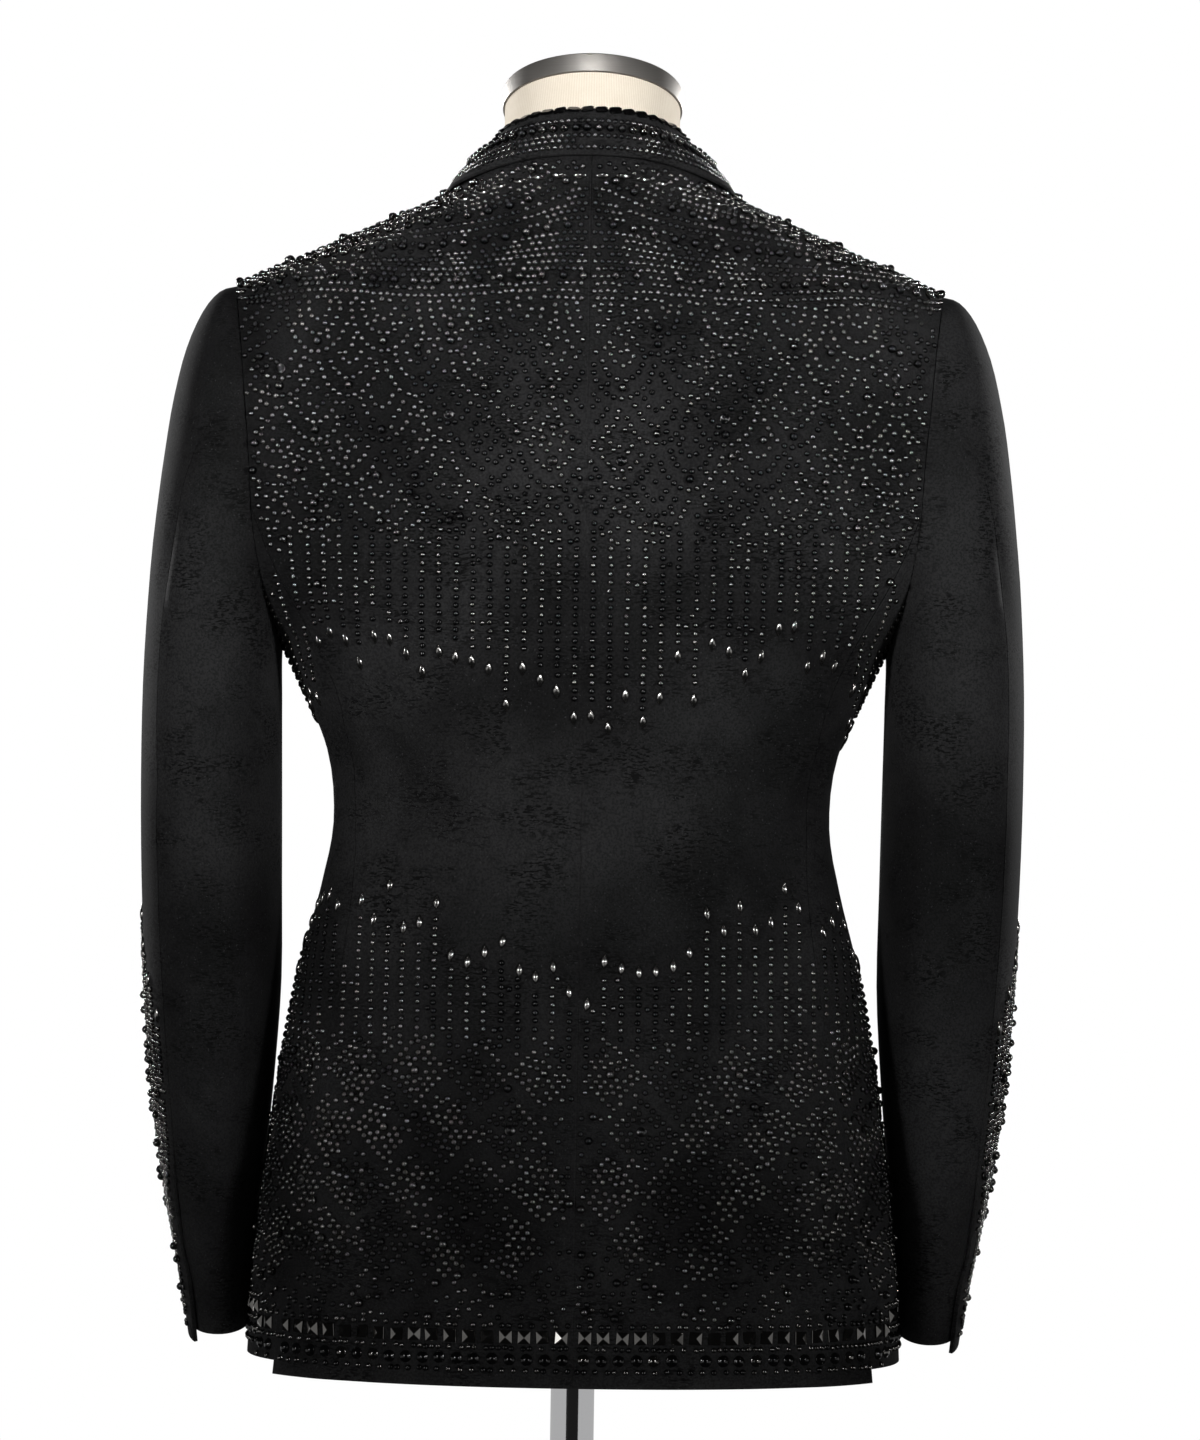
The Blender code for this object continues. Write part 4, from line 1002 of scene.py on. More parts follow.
def restRing(height):  # just inside the jacket's shoulders
    angles = np.abs(np.arctan2(np.sin(math.pi / 2 - turns), np.cos(math.pi / 2 - turns)))
    loose = 0.0014 * (1 - ease(np.array([(height - form["shoulderFoot"]) / 0.025])))
    heights = np.full(len(turns), height)
    inset = cloth["thickness"] + form["rest"] + float(loose[0])
    points = bodyPoint(angles, heights) - bodyNormal(angles, heights) * inset
    start = form["shoulderEnd"] - form["shoulderBend"]
    over = np.maximum(points[:, 0] - start, 0)
    x = np.where(over > 0, start + form["shoulderBend"] * np.tanh(over / form["shoulderBend"]), points[:, 0])
    points[:, 0] = x * np.where(np.cos(turns) >= 0, 1, -1)
    return points


def formPiece():
    lowest, highest = formRows["height"][0], formRows["height"][-1]
    rings = [formRing(lowest, share, form["bottom"] + rise - lowest)
             for share, rise in ((0.66, 0.0), (0.70, 0.0001), (0.90, 0.0040), (0.965, 0.0085))]
    rings += [formRing(height) for height in np.linspace(lowest, highest, 48)]
    rings += [restRing(height) for height in shoulderRings]
    for height in refined(list(neckRows["height"]), 4):
        middle, radius, tilt = (float(atHeight(neckRows, np.array([height]), key)[0])
                                for key in ("middle", "radius", "tilt"))
        rings.append(leaningCircle(middle, height, radius, form["neckTilt"] * tilt))
    return ringsPiece("formTorso", rings, formClothFinish())


def capPiece():
    tilt = form["neckTilt"]
    radius = float(neckRows["radius"][-1]) + capLook["overhang"]
    thick, bevel = capLook["thick"], capLook["bevel"]
    profile = ((0.0, bevel * 0.3), (bevel * 0.3, 0.0), (thick - bevel, 0.0),
               (thick - bevel * 0.6, bevel * 0.08), (thick - bevel * 0.3, bevel * 0.3),
               (thick - bevel * 0.08, bevel * 0.6), (thick, bevel), (thick, radius * 0.5))
    rings = []
    for rise, inward in profile:
        up = form["gap"] + rise
        middle = float(neckRows["middle"][-1]) - up * math.sin(tilt)
        height = float(neckRows["height"][-1]) + up * math.cos(tilt)
        rings.append(leaningCircle(middle, height, radius - inward, tilt))
    return ringsPiece("neckCap", rings, gunmetalFinish())


def turnedPiece(name, profile, material):
    rings = [leaningCircle(0.0, height, radius, 0.0) for radius, height in profile]
    return ringsPiece(name, rings, material, 30)


def polePiece():
    foot, head = stand["edge"] + stand["rise"] + form["gap"], form["bottom"] - form["gap"]
    profile = [(stand["pole"], height) for height in np.linspace(foot, head, 12)]
    return turnedPiece("standPole", profile, chromeFinish())


def basePiece():
    radius, edge, top = stand["base"], stand["edge"], stand["edge"] + stand["rise"]
    slope = ((0.93, 0.0007), (0.80, 0.0020), (0.68, 0.0031), (stand["bend"], stand["bendRise"]),
             (0.44, 0.0046), (0.32, 0.0053))
    profile = [(radius - 0.0010, 0.0), (radius, 0.0010), (radius, edge - 0.0022),
               (radius - 0.0005, edge - 0.0009), (radius - 0.0018, edge + 0.0001)]
    profile += [(radius * share, edge + rise) for share, rise in slope]
    profile += [(radius * 0.24, top - 0.0002), (radius * stand["crown"], top), (stand["pole"] + 0.004, top)]
    return turnedPiece("standBase", profile, steelFinish())


def buttonPiece():  # satin stretched over a mould, gathered to its back
    around = np.linspace(0, 2 * math.pi, buttonLook["segments"], endpoint=False)
    height = np.array([buttonLook["height"]])
    middle = bodyPoint(angleAt(0.0, float(height[0]), True), height).reshape(-1, 3)[0]
    profile = ((0.0, 0.55), (0.0003, 0.86), (0.0009, 0.99), (0.0016, 1.0), (0.0023, 0.985), (0.0029, 0.92),
               (0.0033, 0.80), (0.0036, 0.60), (0.00375, 0.35), (0.0038, 0.10))
    rings = []
    for rise, share in profile:
        radius = buttonLook["radius"] * share
        rings.append(stacked(middle[0] + radius * np.cos(around),
                             np.full(len(around), middle[1] - buttonLook["lay"] - rise),
                             middle[2] + radius * np.sin(around)))
    return ringsPiece("coveredButton", rings, satin, 60)


turnedPieces = {"form_torso": (formPiece(), "form_cloth"), "neck_cap": (capPiece(), "cap_metal"),
                "pole": (polePiece(), "pole_chrome"), "base": (basePiece(), "base_steel"),
                "front_button": (buttonPiece(), "satin")}
for nodeName, (piece, slotName) in turnedPieces.items():
    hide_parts(nodeName)
print("form, stand and button made")


# Beadwork: a generic pattern of falling strands, fans and lozenges, placed by distance round the
# body and height, so that it lies on the cloth from every side.
def stoneShape(outline, rings, top):  # low faceted or domed stone with its outline's share at each height
    count = len(outline)
    points = [(x * share, y * share, height) for height, share in rings for x, y in outline]
    faces = ringFaces(len(rings), count)
    last = (len(rings) - 1) * count
    if top is None:
        faces.append(tuple(last + i for i in range(count)))
    else:
        points.append((0, 0, top))
        faces += [(last + i, last + (i + 1) % count, len(points) - 1) for i in range(count)]
    return np.array(points, dtype=float), faces


def roundOutline(count):
    return [(math.cos(2 * math.pi * i / count), math.sin(2 * math.pi * i / count)) for i in range(count)]


def leafOutline(length, count):  # pointed at both ends, along +Y
    outline = []
    for i in range(count):
        turn = 2 * math.pi * i / count
        y = -math.cos(turn)
        x = math.copysign(1 - abs(y)**1.7, math.sin(turn)) if abs(y) < 0.999 else 0.0
        outline.append((x, y * length))
    return outline[::-1]


squareOutline = [(1, 1), (-1, 1), (-1, -1), (1, -1)]
tileOutline = [(1.30, 0.55), (0.95, 0.92), (-0.95, 0.92), (-1.30, 0.55), (-1.30, -0.55), (-0.95, -0.92),
               (0.95, -0.92), (1.30, -0.55)]

# Stones in shares of their radius: outline, (height, share) rings, top, and the real radius in metres.
stoneRows = {
    "jet": (roundOutline(8), ((-0.15, 0.92), (0.42, 0.88), (0.80, 0.50)), 0.96, 0.00200),
    "crystal": (roundOutline(8), ((-0.15, 1.0), (0.38, 0.90), (0.72, 0.52)), 0.88, 0.00178),
    "pearl": (roundOutline(10), ((-0.10, 0.85), (0.45, 1.0), (1.05, 0.80), (1.38, 0.42)), 1.50, 0.00270),
    "leaf": (leafOutline(2.10, 14), ((-0.10, 1.0), (0.28, 0.97), (0.60, 0.72), (0.80, 0.36)), 0.86, 0.00236),
    "ringed": (roundOutline(12), ((-0.06, 1.0), (0.26, 0.96), (0.30, 0.74), (0.12, 0.62), (0.34, 0.44)), 0.46,
               0.00330),
    "tile": (tileOutline, ((-0.05, 1.0), (0.26, 1.0), (0.42, 0.78)), None, 0.00300),
    "pyramid": (squareOutline, ((-0.05, 1.0), (0.16, 1.0), (0.22, 0.96)), 0.66, 0.00385),
    "disc": (roundOutline(14), ((-0.05, 1.0), (0.20, 0.98), (0.24, 0.80), (0.52, 0.62), (0.66, 0.30)), 0.70,
             0.00360),
}
stones = {name: (stoneShape(*row[:3]), row[3]) for name, row in stoneRows.items()}
smoothStones = ("jet", "crystal", "pearl", "ringed", "leaf", "disc")
sewn = []  # one row for each group: stone, panel, side, points, normals, turns
nearCells = [(x, y, z) for x in (-1, 0, 1) for y in (-1, 0, 1) for z in (-1, 0, 1)]


class Sewing:  # keeps what is sewn on one side apart, so that no two stones cross
    cell = 0.008

    def __init__(self):
        self.cells = {}

    def free(self, point, radius):
        key = [int(math.floor(v / self.cell)) for v in point]
        for near in nearCells:
            for x, y, z, size in self.cells.get((key[0] + near[0], key[1] + near[1], key[2] + near[2]), ()):
                if (point[0] - x)**2 + (point[1] - y)**2 + (point[2] - z)**2 < (radius + size)**2:
                    return False
        return True

    def add(self, point, radius):
        key = tuple(int(math.floor(v / self.cell)) for v in point)
        self.cells.setdefault(key, []).append((*point, radius))


dice = np.random.default_rng(7)
arcAngles = np.linspace(0, math.pi, 361)
arcHeights = np.linspace(0.772, 1.540, 257)
arcPoints = bodyPoint(arcAngles[None, :], arcHeights[:, None])
arcLengths = np.zeros(arcPoints.shape[:2])
arcLengths[:, 1:] = np.cumsum(np.linalg.norm(np.diff(arcPoints, axis=1), axis=2), axis=1)
girths = {name: float(np.interp(height, arcHeights, arcLengths[:, -1]))
          for name, height in (("chest", 1.225), ("hips", 0.960))}  # half way round
climbs = np.zeros(arcPoints.shape[:2])
climbs[1:] = np.cumsum(np.linalg.norm(np.diff(arcPoints, axis=0), axis=2), axis=0)


def angleOfArc(reach, height):  # reach counts from centre back, and near the front from centre front
    place = (height - arcHeights[0]) / (arcHeights[1] - arcHeights[0])
    low = np.clip(place.astype(int), 0, len(arcHeights) - 2)
    lengths = blend(arcLengths[low], arcLengths[low + 1], (place - low)[:, None])
    whole = np.where(height > 1.10, girths["chest"], girths["hips"])
    reach = reach + (lengths[:, -1] - whole) * ease((reach / whole - 0.36) / 0.28)
    i = np.clip((lengths < reach[:, None]).sum(axis=1) - 1, 0, len(arcAngles) - 2)
    rows = np.arange(len(reach))
    t = (reach - lengths[rows, i]) / (lengths[rows, i + 1] - lengths[rows, i])
    return arcAngles[i] + t * (arcAngles[1] - arcAngles[0])


def spaced(angles, heights, pitch, offset=0.0):  # the path's points, one for each pitch along it
    points = bodyPoint(angles, heights)
    lengths = np.concatenate([[0], np.cumsum(np.linalg.norm(np.diff(points, axis=0), axis=1))])
    at = np.arange(offset, lengths[-1], pitch)
    return np.interp(at, lengths, angles), np.interp(at, lengths, heights)


def line(reaches, heights, pitch, offset=0.0):
    steps = np.linspace(0, 1, 60)
    keys = np.linspace(0, 1, len(reaches))
    reach = np.interp(steps, keys, reaches) if len(reaches) < 20 else np.asarray(reaches)
    height = np.interp(steps, keys, heights) if len(reaches) < 20 else np.asarray(heights)
    return spaced(angleOfArc(np.abs(reach), height), height, pitch, offset)


collarEdge = namedRows("x height", *[(collarRows["edgeX"][i], collarRows["edgeHeight"][i]) for i in range(6)])
frontCover = namedRows(
    "height x",
    (1.1720, -0.0080), (1.2000, 0.0180), (1.2500, 0.0520), (1.2980, 0.0790), (1.3420, 0.1020),
    (1.3800, 0.1230), (1.4080, 0.1500), (1.4400, 0.1500), (1.4460, 0.1090), (1.4640, 0.1055),
    (1.4860, 0.1000), (1.5020, 0.0940), (1.5150, 0.0860),
)


def panelAt(angle, height, margin):  # name of the panel that carries a stone there, or nothing
    step = bodyPoint(angle + 0.002, height) - bodyPoint(angle - 0.002, height)
    speed = np.linalg.norm(step, axis=1) / 0.004
    edge = margin / speed
    x = bodyPoint(angle, height)[:, 0]
    backLimit = backEdge(height)
    frontLimit = frontOuterEdge(height)
    low = height < stationHeight(armhole["frontSeam"])
    top = np.where(angle < math.pi / 2, np.interp(x, collarEdge["x"], collarEdge["height"]) - margin, 9.0)
    cover = np.interp(height, frontCover["height"], frontCover["x"])
    onBack = (angle > edge) & (angle < backLimit - edge) & (height < top) & (height > hems["back"] + margin)
    inner = frontInnerEdge(height)
    onFront = (angle > frontLimit + edge) & (angle < inner - 2 * edge) & (height > hems["side"] + margin)
    onFront &= (x > cover + margin) | (height < 1.170)
    onSide = (angle > backLimit + edge) & (angle < frontLimit - edge) & low & (height > hems["side"] + margin)
    nearArm = (height > stationHeight(armhole["backSeam"]) - margin) & (height < armhole["bottom"] - margin)
    onSide |= nearArm & (angle < frontLimit) & (angle > backLimit)
    shoulder = (np.abs(angle - math.pi / 2) < edge) & (height > armhole["top"])
    names = np.full(len(angle), "", dtype=object)
    names[onSide] = "side"
    names[onFront & ~shoulder] = "front"
    names[onBack & ~shoulder] = "back"
    return names


sewing = {1: Sewing(), -1: Sewing()}


def sew(stone, angles, heights, side, keep=1.0, spin=None):
    radius = stones[stone][1]
    jitter = 0.0002
    angles = angles + dice.normal(0, jitter, len(angles)) / 0.15
    heights = heights + dice.normal(0, jitter, len(heights))
    kept = dice.random(len(angles)) < keep
    angles, heights = angles[kept], heights[kept]
    if not len(angles):
        return
    names = panelAt(angles, heights, radius + 0.0003)
    for panel in ("back", "side", "front"):
        chosen = names == panel
        if not chosen.any():
            continue
        a, h = angles[chosen], heights[chosen]
        if panel == "back":
            points, normals = backSurface(a, h, side)
        elif panel == "front":
            points, normals = frontSurface(a, h, side)
        else:
            normals = bodyNormal(a, h)
            points = bodyPoint(a, h) - normals * bodyCrease(a, h, side)[:, None]
        lay(stone, panel, side, points, normals, spin)


def lay(stone, panel, side, points, normals, spin=None):
    radius = stones[stone][1]
    clear = radius * (1.25 if stone == "leaf" else 0.98)
    free = []
    for i, point in enumerate(points):
        place = tuple(float(v) for v in point)
        if sewing[side].free(place, clear):
            sewing[side].add(place, clear)
            free.append(i)
    if not free:
        return
    if spin is None:
        spins = dice.uniform(0, 2 * math.pi, len(free))
    else:
        spins = np.full(len(free), spin) + dice.normal(0, 0.05, len(free))
    sewn.append((stone, panel, side, points[free], normals[free], spins))


# What a user would change in the pattern, in metres.
pattern = {
    "strandPitch": 0.0051, "strandGap": 0.0104, "fanHalf": 0.0208, "fanTall": 0.0315, "lozengeHalf": 0.0190,
    "lozengeTall": 0.0260, "yokeFrom": 1.4380, "fansFrom": 1.3000, "skirtTop": 0.9900, "linePitch": 0.0050,
    "yokePitch": 0.0043, "fallTo": 1.2110, "fallSwing": 0.0210, "fallWave": 0.2360, "riseTo": 1.0520,
    "riseSwing": 0.0230, "riseWave": 0.2680,
}
hemRows = (  # height on the back panel, stone, pitch and offset
    (0.8145, "pyramid", 0.0112, 0.0060), (0.8010, "disc", 0.0106, 0.0055), (0.8213, "jet", 0.0036, 0.0020),
    (0.8077, "crystal", 0.0037, 0.0030), (0.7942, "jet", 0.0036, 0.0020),
)


def fallingTip(reach):
    swing = pattern["fallSwing"] * np.cos(2 * math.pi * reach / pattern["fallWave"])
    return pattern["fallTo"] - swing + dice.uniform(-0.019, 0.017)


def risingTip(reach):
    swing = pattern["riseSwing"] * np.cos(2 * math.pi * reach / pattern["riseWave"])
    return pattern["riseTo"] - swing + dice.uniform(-0.016, 0.015)


class Batch:  # stones of one kind are sewn together, the larger kinds first
    def __init__(self, side):
        self.side = side
        self.rows = {}

    def put(self, stone, path):
        self.rows.setdefault(stone, []).append(path)

    def sew(self, order, keep=0.98, spins=None):
        for stone in order:
            if stone in self.rows:
                angles = np.concatenate([path[0] for path in self.rows[stone]])
                heights = np.concatenate([path[1] for path in self.rows[stone]])
                sew(stone, angles, heights, self.side, keep, (spins or {}).get(stone))


def single(reach, height):  # a path with one stone
    return angleOfArc(np.array([reach]), np.array([height])), np.array([height])


def hemBands(side):
    batch = Batch(side)
    for panelRise, first, last in ((0.0, 0.001, 0.215), (0.0080, 0.215, 0.62)):
        reaches = np.linspace(first, last, 200)
        for height, stone, pitch, offset in hemRows:
            batch.put(stone, line(reaches, np.full(200, height + panelRise), pitch, offset))
    batch.sew(("pyramid", "disc", "jet", "crystal"), 0.99, {"pyramid": 0.0})


def strands(side):
    gap = pattern["strandGap"]
    batch = Batch(side)
    for k in range(54):
        reach = gap * (k + 0.5)
        tip = float(fallingTip(reach))
        batch.put("leaf", single(reach, tip))
        batch.put("crystal" if k % 4 == 2 else "jet",
                  line([reach, reach], [pattern["fansFrom"] + 0.004, tip + 0.0085], pattern["strandPitch"]))
        tip = float(risingTip(reach))
        batch.put("leaf", single(reach, tip))
        batch.put("crystal" if k % 4 == 1 else "jet",
                  line([reach, reach], [pattern["skirtTop"] - 0.012, tip - 0.0085], pattern["strandPitch"]))
    batch.sew(("leaf", "jet", "crystal"), 0.99, {"leaf": 0.0})


def fans(side):
    half, tall = pattern["fanHalf"], pattern["fanTall"]
    turn = np.linspace(0.06, math.pi - 0.06, 60)
    batch = Batch(side)
    for row in range(5):
        foot = pattern["yokeFrom"] - tall * 0.86 * row
        for k in range(16):
            middle = half * (2 * k + row % 2)
            heart = "ringed" if (k * 5 + row * 3) % 7 == 2 else "pearl"
            batch.put(heart, single(middle, foot - tall * 0.48))
            for share, stone in ((1.0, "jet"), (0.66, "jet"), (0.36, "crystal")):
                reaches = middle + half * share * np.cos(turn)
                inside = reaches > 0.0005
                if inside.sum() >= 20:
                    heights = foot - tall * share * np.sin(turn)
                    batch.put(stone, line(reaches[inside], heights[inside], pattern["linePitch"]))
            for spoke in (-0.63, 0.0, 0.63):
                reach = middle + half * spoke * 0.8
                if reach > 0:
                    batch.put("pearl", single(reach, foot - tall * (0.80 - 0.12 * abs(spoke))))
    batch.sew(("ringed", "jet", "crystal", "pearl"), 0.97)


def lozenges(side):
    half, tall = pattern["lozengeHalf"], pattern["lozengeTall"]
    steps = np.linspace(0, 1, 40)
    batch = Batch(side)
    for row in range(4):
        middleHeight = pattern["skirtTop"] - tall * (0.7 + 1.32 * row)
        for k in range(17):
            middle = half * (2 * k + (row + 1) % 2) * 1.04
            heart = "ringed" if (k * 3 + row * 5) % 7 == 1 else "pearl"
            batch.put(heart, single(middle, middleHeight))
            for share, stone in ((1.0, "jet"), (0.68, "jet"), (0.38, "crystal")):
                for way in (-1, 1):
                    reach = middle + half * share * (2 * steps - 1)
                    height = middleHeight + way * tall * 0.74 * share * (1 - np.abs(2 * steps - 1))
                    inside = reach > 0.0005
                    if inside.sum() >= 20:
                        batch.put(stone, line(reach[inside], height[inside], pattern["linePitch"], 0.001))
    batch.sew(("ringed", "pearl", "jet", "crystal"), 0.97)


# Loose stones between the lines: lowest and highest, pitch, row step, share kept and share of pearls.
fillRows = (
    (1.292, 1.450, 0.0057, 0.0049, 0.66, 0.13),
    (1.236, 1.292, 0.0104, 0.0062, 0.25, 0.12),
    (0.826, 0.992, 0.0058, 0.0050, 0.62, 0.12),
    (0.992, 1.030, 0.0104, 0.0062, 0.22, 0.10),
)


def fill(side, low, high, pitch, rowStep, share, bigShare):
    batch = Batch(side)
    for i, height in enumerate(np.arange(low, high, rowStep)):
        reaches = np.linspace(0.001, 0.62, 200)
        angles, heights = line(reaches, np.full(200, height), pitch, pitch * (0.3 + 0.5 * (i % 2)))
        angles = angles + dice.normal(0, 0.0011, len(angles)) / 0.15
        heights = heights + dice.normal(0, 0.0010, len(heights))
        pick = dice.random(len(angles))
        for stone, chosen in (("pearl", pick < bigShare), ("crystal", (pick >= bigShare) & (pick < 0.50)),
                              ("jet", pick >= 0.50)):
            batch.put(stone, (angles[chosen], heights[chosen]))
    batch.sew(("pearl", "crystal", "jet"), share)


def yoke(side):  # rows over the shoulders, closer set than the rest
    start = int(np.searchsorted(arcHeights, pattern["yokeFrom"] - 0.002))
    above = climbs[start:] - climbs[start]
    batch = Batch(side)
    wave = 0.0022 * (1 + np.sin(arcAngles * 9.0 + 0.8))
    for k in range(60):
        reach = 0.0049 * k - 0.0015
        heights = np.array([np.interp(reach + wave[i], above[:, i], arcHeights[start:], right=9.0)
                            for i in range(len(arcAngles))])
        valid = np.flatnonzero(heights < 1.5399)
        for part in np.split(valid, np.flatnonzero(np.diff(valid) > 1) + 1):
            if len(part) < 3:
                continue
            pitch = pattern["yokePitch"]
            angles, rows = spaced(arcAngles[part], heights[part], pitch, pitch * (0.2 + 0.5 * (k % 2)))
            if k % 7 == 3:
                batch.put("pearl", (angles[::3], rows[::3]))
            batch.put("crystal" if k % 2 else "jet", (angles, rows))
    batch.sew(("pearl", "crystal", "jet"), 0.96)


def collarEdgeLine(side):  # long stones under the collar's edge, end to end
    angles, heights = [], []
    for x in np.linspace(0.001, 0.084, 80):
        height = float(np.interp(x, collarEdge["x"], collarEdge["height"])) - 0.0115
        heights.append(height)
        angles.append(float(angleAt(x, height, False)))
    sew("leaf", *spaced(np.array(angles), np.array(heights), 0.0125, 0.006), side, spin=math.pi / 2)


for side in (1, -1):
    hemBands(side)
    collarEdgeLine(side)
    fans(side)
    lozenges(side)
    strands(side)
    yoke(side)
    for row in fillRows:
        fill(side, *row)
print("body beads placed")


sleeveBeads = {"firstTurn": -34, "lastTurn": 66, "turnStep": 5.2, "middleTurn": 12, "top": 1.075,
               "uneven": 0.030, "drop": 0.0011}
lapelBeads = {"rows": 52, "pitch": 0.0052}


def sewSleeve(side):  # a strip of strands down the sleeve's outer and back edge to the cuff
    strandTurns = np.arange(sleeveBeads["firstTurn"], sleeveBeads["lastTurn"], sleeveBeads["turnStep"])
    for i, turn in enumerate(strandTurns):
        top = sleeveBeads["top"] - sleeveBeads["uneven"] * ((i * 5) % 7) / 7
        top -= sleeveBeads["drop"] * abs(turn - sleeveBeads["middleTurn"])
        t = np.linspace(9.0, 15.9, 300)
        points, normals = sleeveSurface(t, np.full(300, turn), side, True)
        heights = points[:, 2]
        first = int(np.argmax(heights < top))
        lay("leaf", "sleeve_top", side, points[first:first + 1], normals[first:first + 1], 0.0)
        lengths = np.concatenate([[0], np.cumsum(np.linalg.norm(np.diff(points[first:], axis=0), axis=1))])
        end = lengths[-1] - 0.004
        rows = (("pearl", 0.05 + 0.012 * (i % 3), 0.031, 0.0),
                ("jet" if i % 2 else "crystal", 0.0085, 0.0046, 0.0),
                ("crystal", 0.030 + 0.004 * (i % 4), 0.0057, 2.6))
        for stone, start, pitch, aside in rows:
            at = np.arange(start, end, pitch)
            if aside:  # loose ones between the strands, more of them towards the cuff
                at = at[dice.random(len(at)) < 0.3 + 0.5 * at / lengths[-1]]
            rings = np.interp(at, lengths, t[first:])
            spots, faces = sleeveSurface(rings, np.full(len(rings), turn + aside), side, True)
            lay(stone, "sleeve_top", side, spots, faces)


# Rows on the collar: how far below its fold, stone and pitch.
collarBeadRows = ((0.0066, "crystal", 0.0041), (0.0120, "pearl", 0.0070), (0.0170, "crystal", 0.0041),
                  (0.0208, "jet", 0.0043), (0.0248, "crystal", 0.0041))


def sewCollar():
    last = len(collarStations) - 1
    station = np.linspace(-last + 0.15, last - 0.15, 600)
    top, knee, foot = (collarLine(corner, station) for corner in (4, 5, 6))
    crest = (collarLine(3, station) + top) / 2

    def row(points, normals, stone, pitch, spin=None):
        lengths = np.concatenate([[0], np.cumsum(np.linalg.norm(np.diff(points, axis=0), axis=1))])
        at = np.arange(pitch / 2, lengths[-1], pitch)
        spots = np.stack([np.interp(at, lengths, points[:, i]) for i in range(3)], axis=1)
        faces = unit(np.stack([np.interp(at, lengths, normals[:, i]) for i in range(3)], axis=1))
        lay(stone, "collar", 1, spots, faces, spin)

    onward = np.gradient(crest, axis=0)
    upper = unit(np.cross(onward, knee - top))
    upper *= np.sign(np.sum(upper * stacked(top[:, 0], top[:, 1] + 0.02, 0), axis=1))[:, None]
    lower = unit(np.cross(onward, foot - knee))
    lower *= np.sign(np.sum(lower * upper, axis=1))[:, None]
    row(crest, unit(upper + np.array([0, 0, 1.0])), "tile", 0.0086, 0.0)
    fall = np.linalg.norm(knee - top, axis=1) + np.linalg.norm(foot - knee, axis=1)
    for reach, stone, pitch in collarBeadRows:
        share = reach / 0.0300 * fall
        first = np.linalg.norm(knee - top, axis=1)
        t = np.clip(share / first, 0, 1)[:, None]
        rest = np.clip((share - first) / np.maximum(fall - first, 1e-6), 0, 1)[:, None]
        row(blend(top, knee, t) + (foot - knee) * rest, np.where(rest > 0, lower, upper), stone, pitch)


def sewLapel(side):
    for i, row in enumerate(np.linspace(0.35, 6.85, lapelBeads["rows"])):
        wide = 0.012 + 0.016 * row
        count = int(wide / lapelBeads["pitch"])
        shares = (np.arange(count) + 0.5 + 0.5 * (i % 2)) / (count + 1)
        shares = shares[(shares > 0.05) & (shares < 0.95)]
        if not len(shares):
            continue
        points, normals = lapelSurface(np.full(len(shares), row), shares, side)
        kept = dice.random(len(shares)) < 0.35 + 0.6 * row / 7
        pick = dice.random(len(shares))
        for stone, low, high in (("pearl", 0.0, 0.08), ("crystal", 0.08, 0.6), ("jet", 0.6, 1.0)):
            chosen = kept & (pick >= low) & (pick < high)
            if chosen.any():
                lay(stone, "lapel", side, points[chosen], normals[chosen])


for side in (1, -1):
    sewSleeve(side)
    sewLapel(side)
sewCollar()
print("sleeve, collar and lapel beads placed")

jetLook = {"colour": (0.0016, 0.0016, 0.0018), "metallic": 0.0, "roughness": 0.16}
glintLook = {"colour": (0.2150, 0.2090, 0.2000), "metallic": 1.0, "roughness": 0.055}
tipLook = {"colour": (0.3800, 0.3720, 0.3600), "metallic": 1.0, "roughness": 0.22}
patchGrid = {"across": 0.034, "upward": 0.047, "share": 0.56}  # where the beads are plain jet


def stoneFinish(name, look):
    finish = Finish(name, {"IOR": 1.50, "Metallic": look["metallic"]})
    cloudy = finish.noise((240, 240, 240), 1.0, 0.5)
    dark = tuple(value * 0.6 for value in look["colour"])
    finish.set("Base Color", finish.mix(cloudy, dark, look["colour"]))
    finish.set("Roughness", cloudy * 0.06 + (look["roughness"] - 0.03))
    return finish.material


beadFinishes = (stoneFinish("plainJet", jetLook), stoneFinish("cutJet", glintLook),
                stoneFinish("smokedTip", tipLook))


def plainJets(spots):  # some patches of beads have no glint
    x, y, z = spots[:, 0], spots[:, 1], spots[:, 2]
    across = np.arctan2(x, y) * 0.17
    wave = (np.sin(across / patchGrid["across"] * 2.1 + 3.0 * np.sin(z / 0.061))
            * np.sin(z / patchGrid["upward"] * 2.3 + 2.2 * np.sin(across / 0.043)))
    return wave + dice.normal(0, 0.16, len(spots)) > 1 - 1.6 * patchGrid["share"]


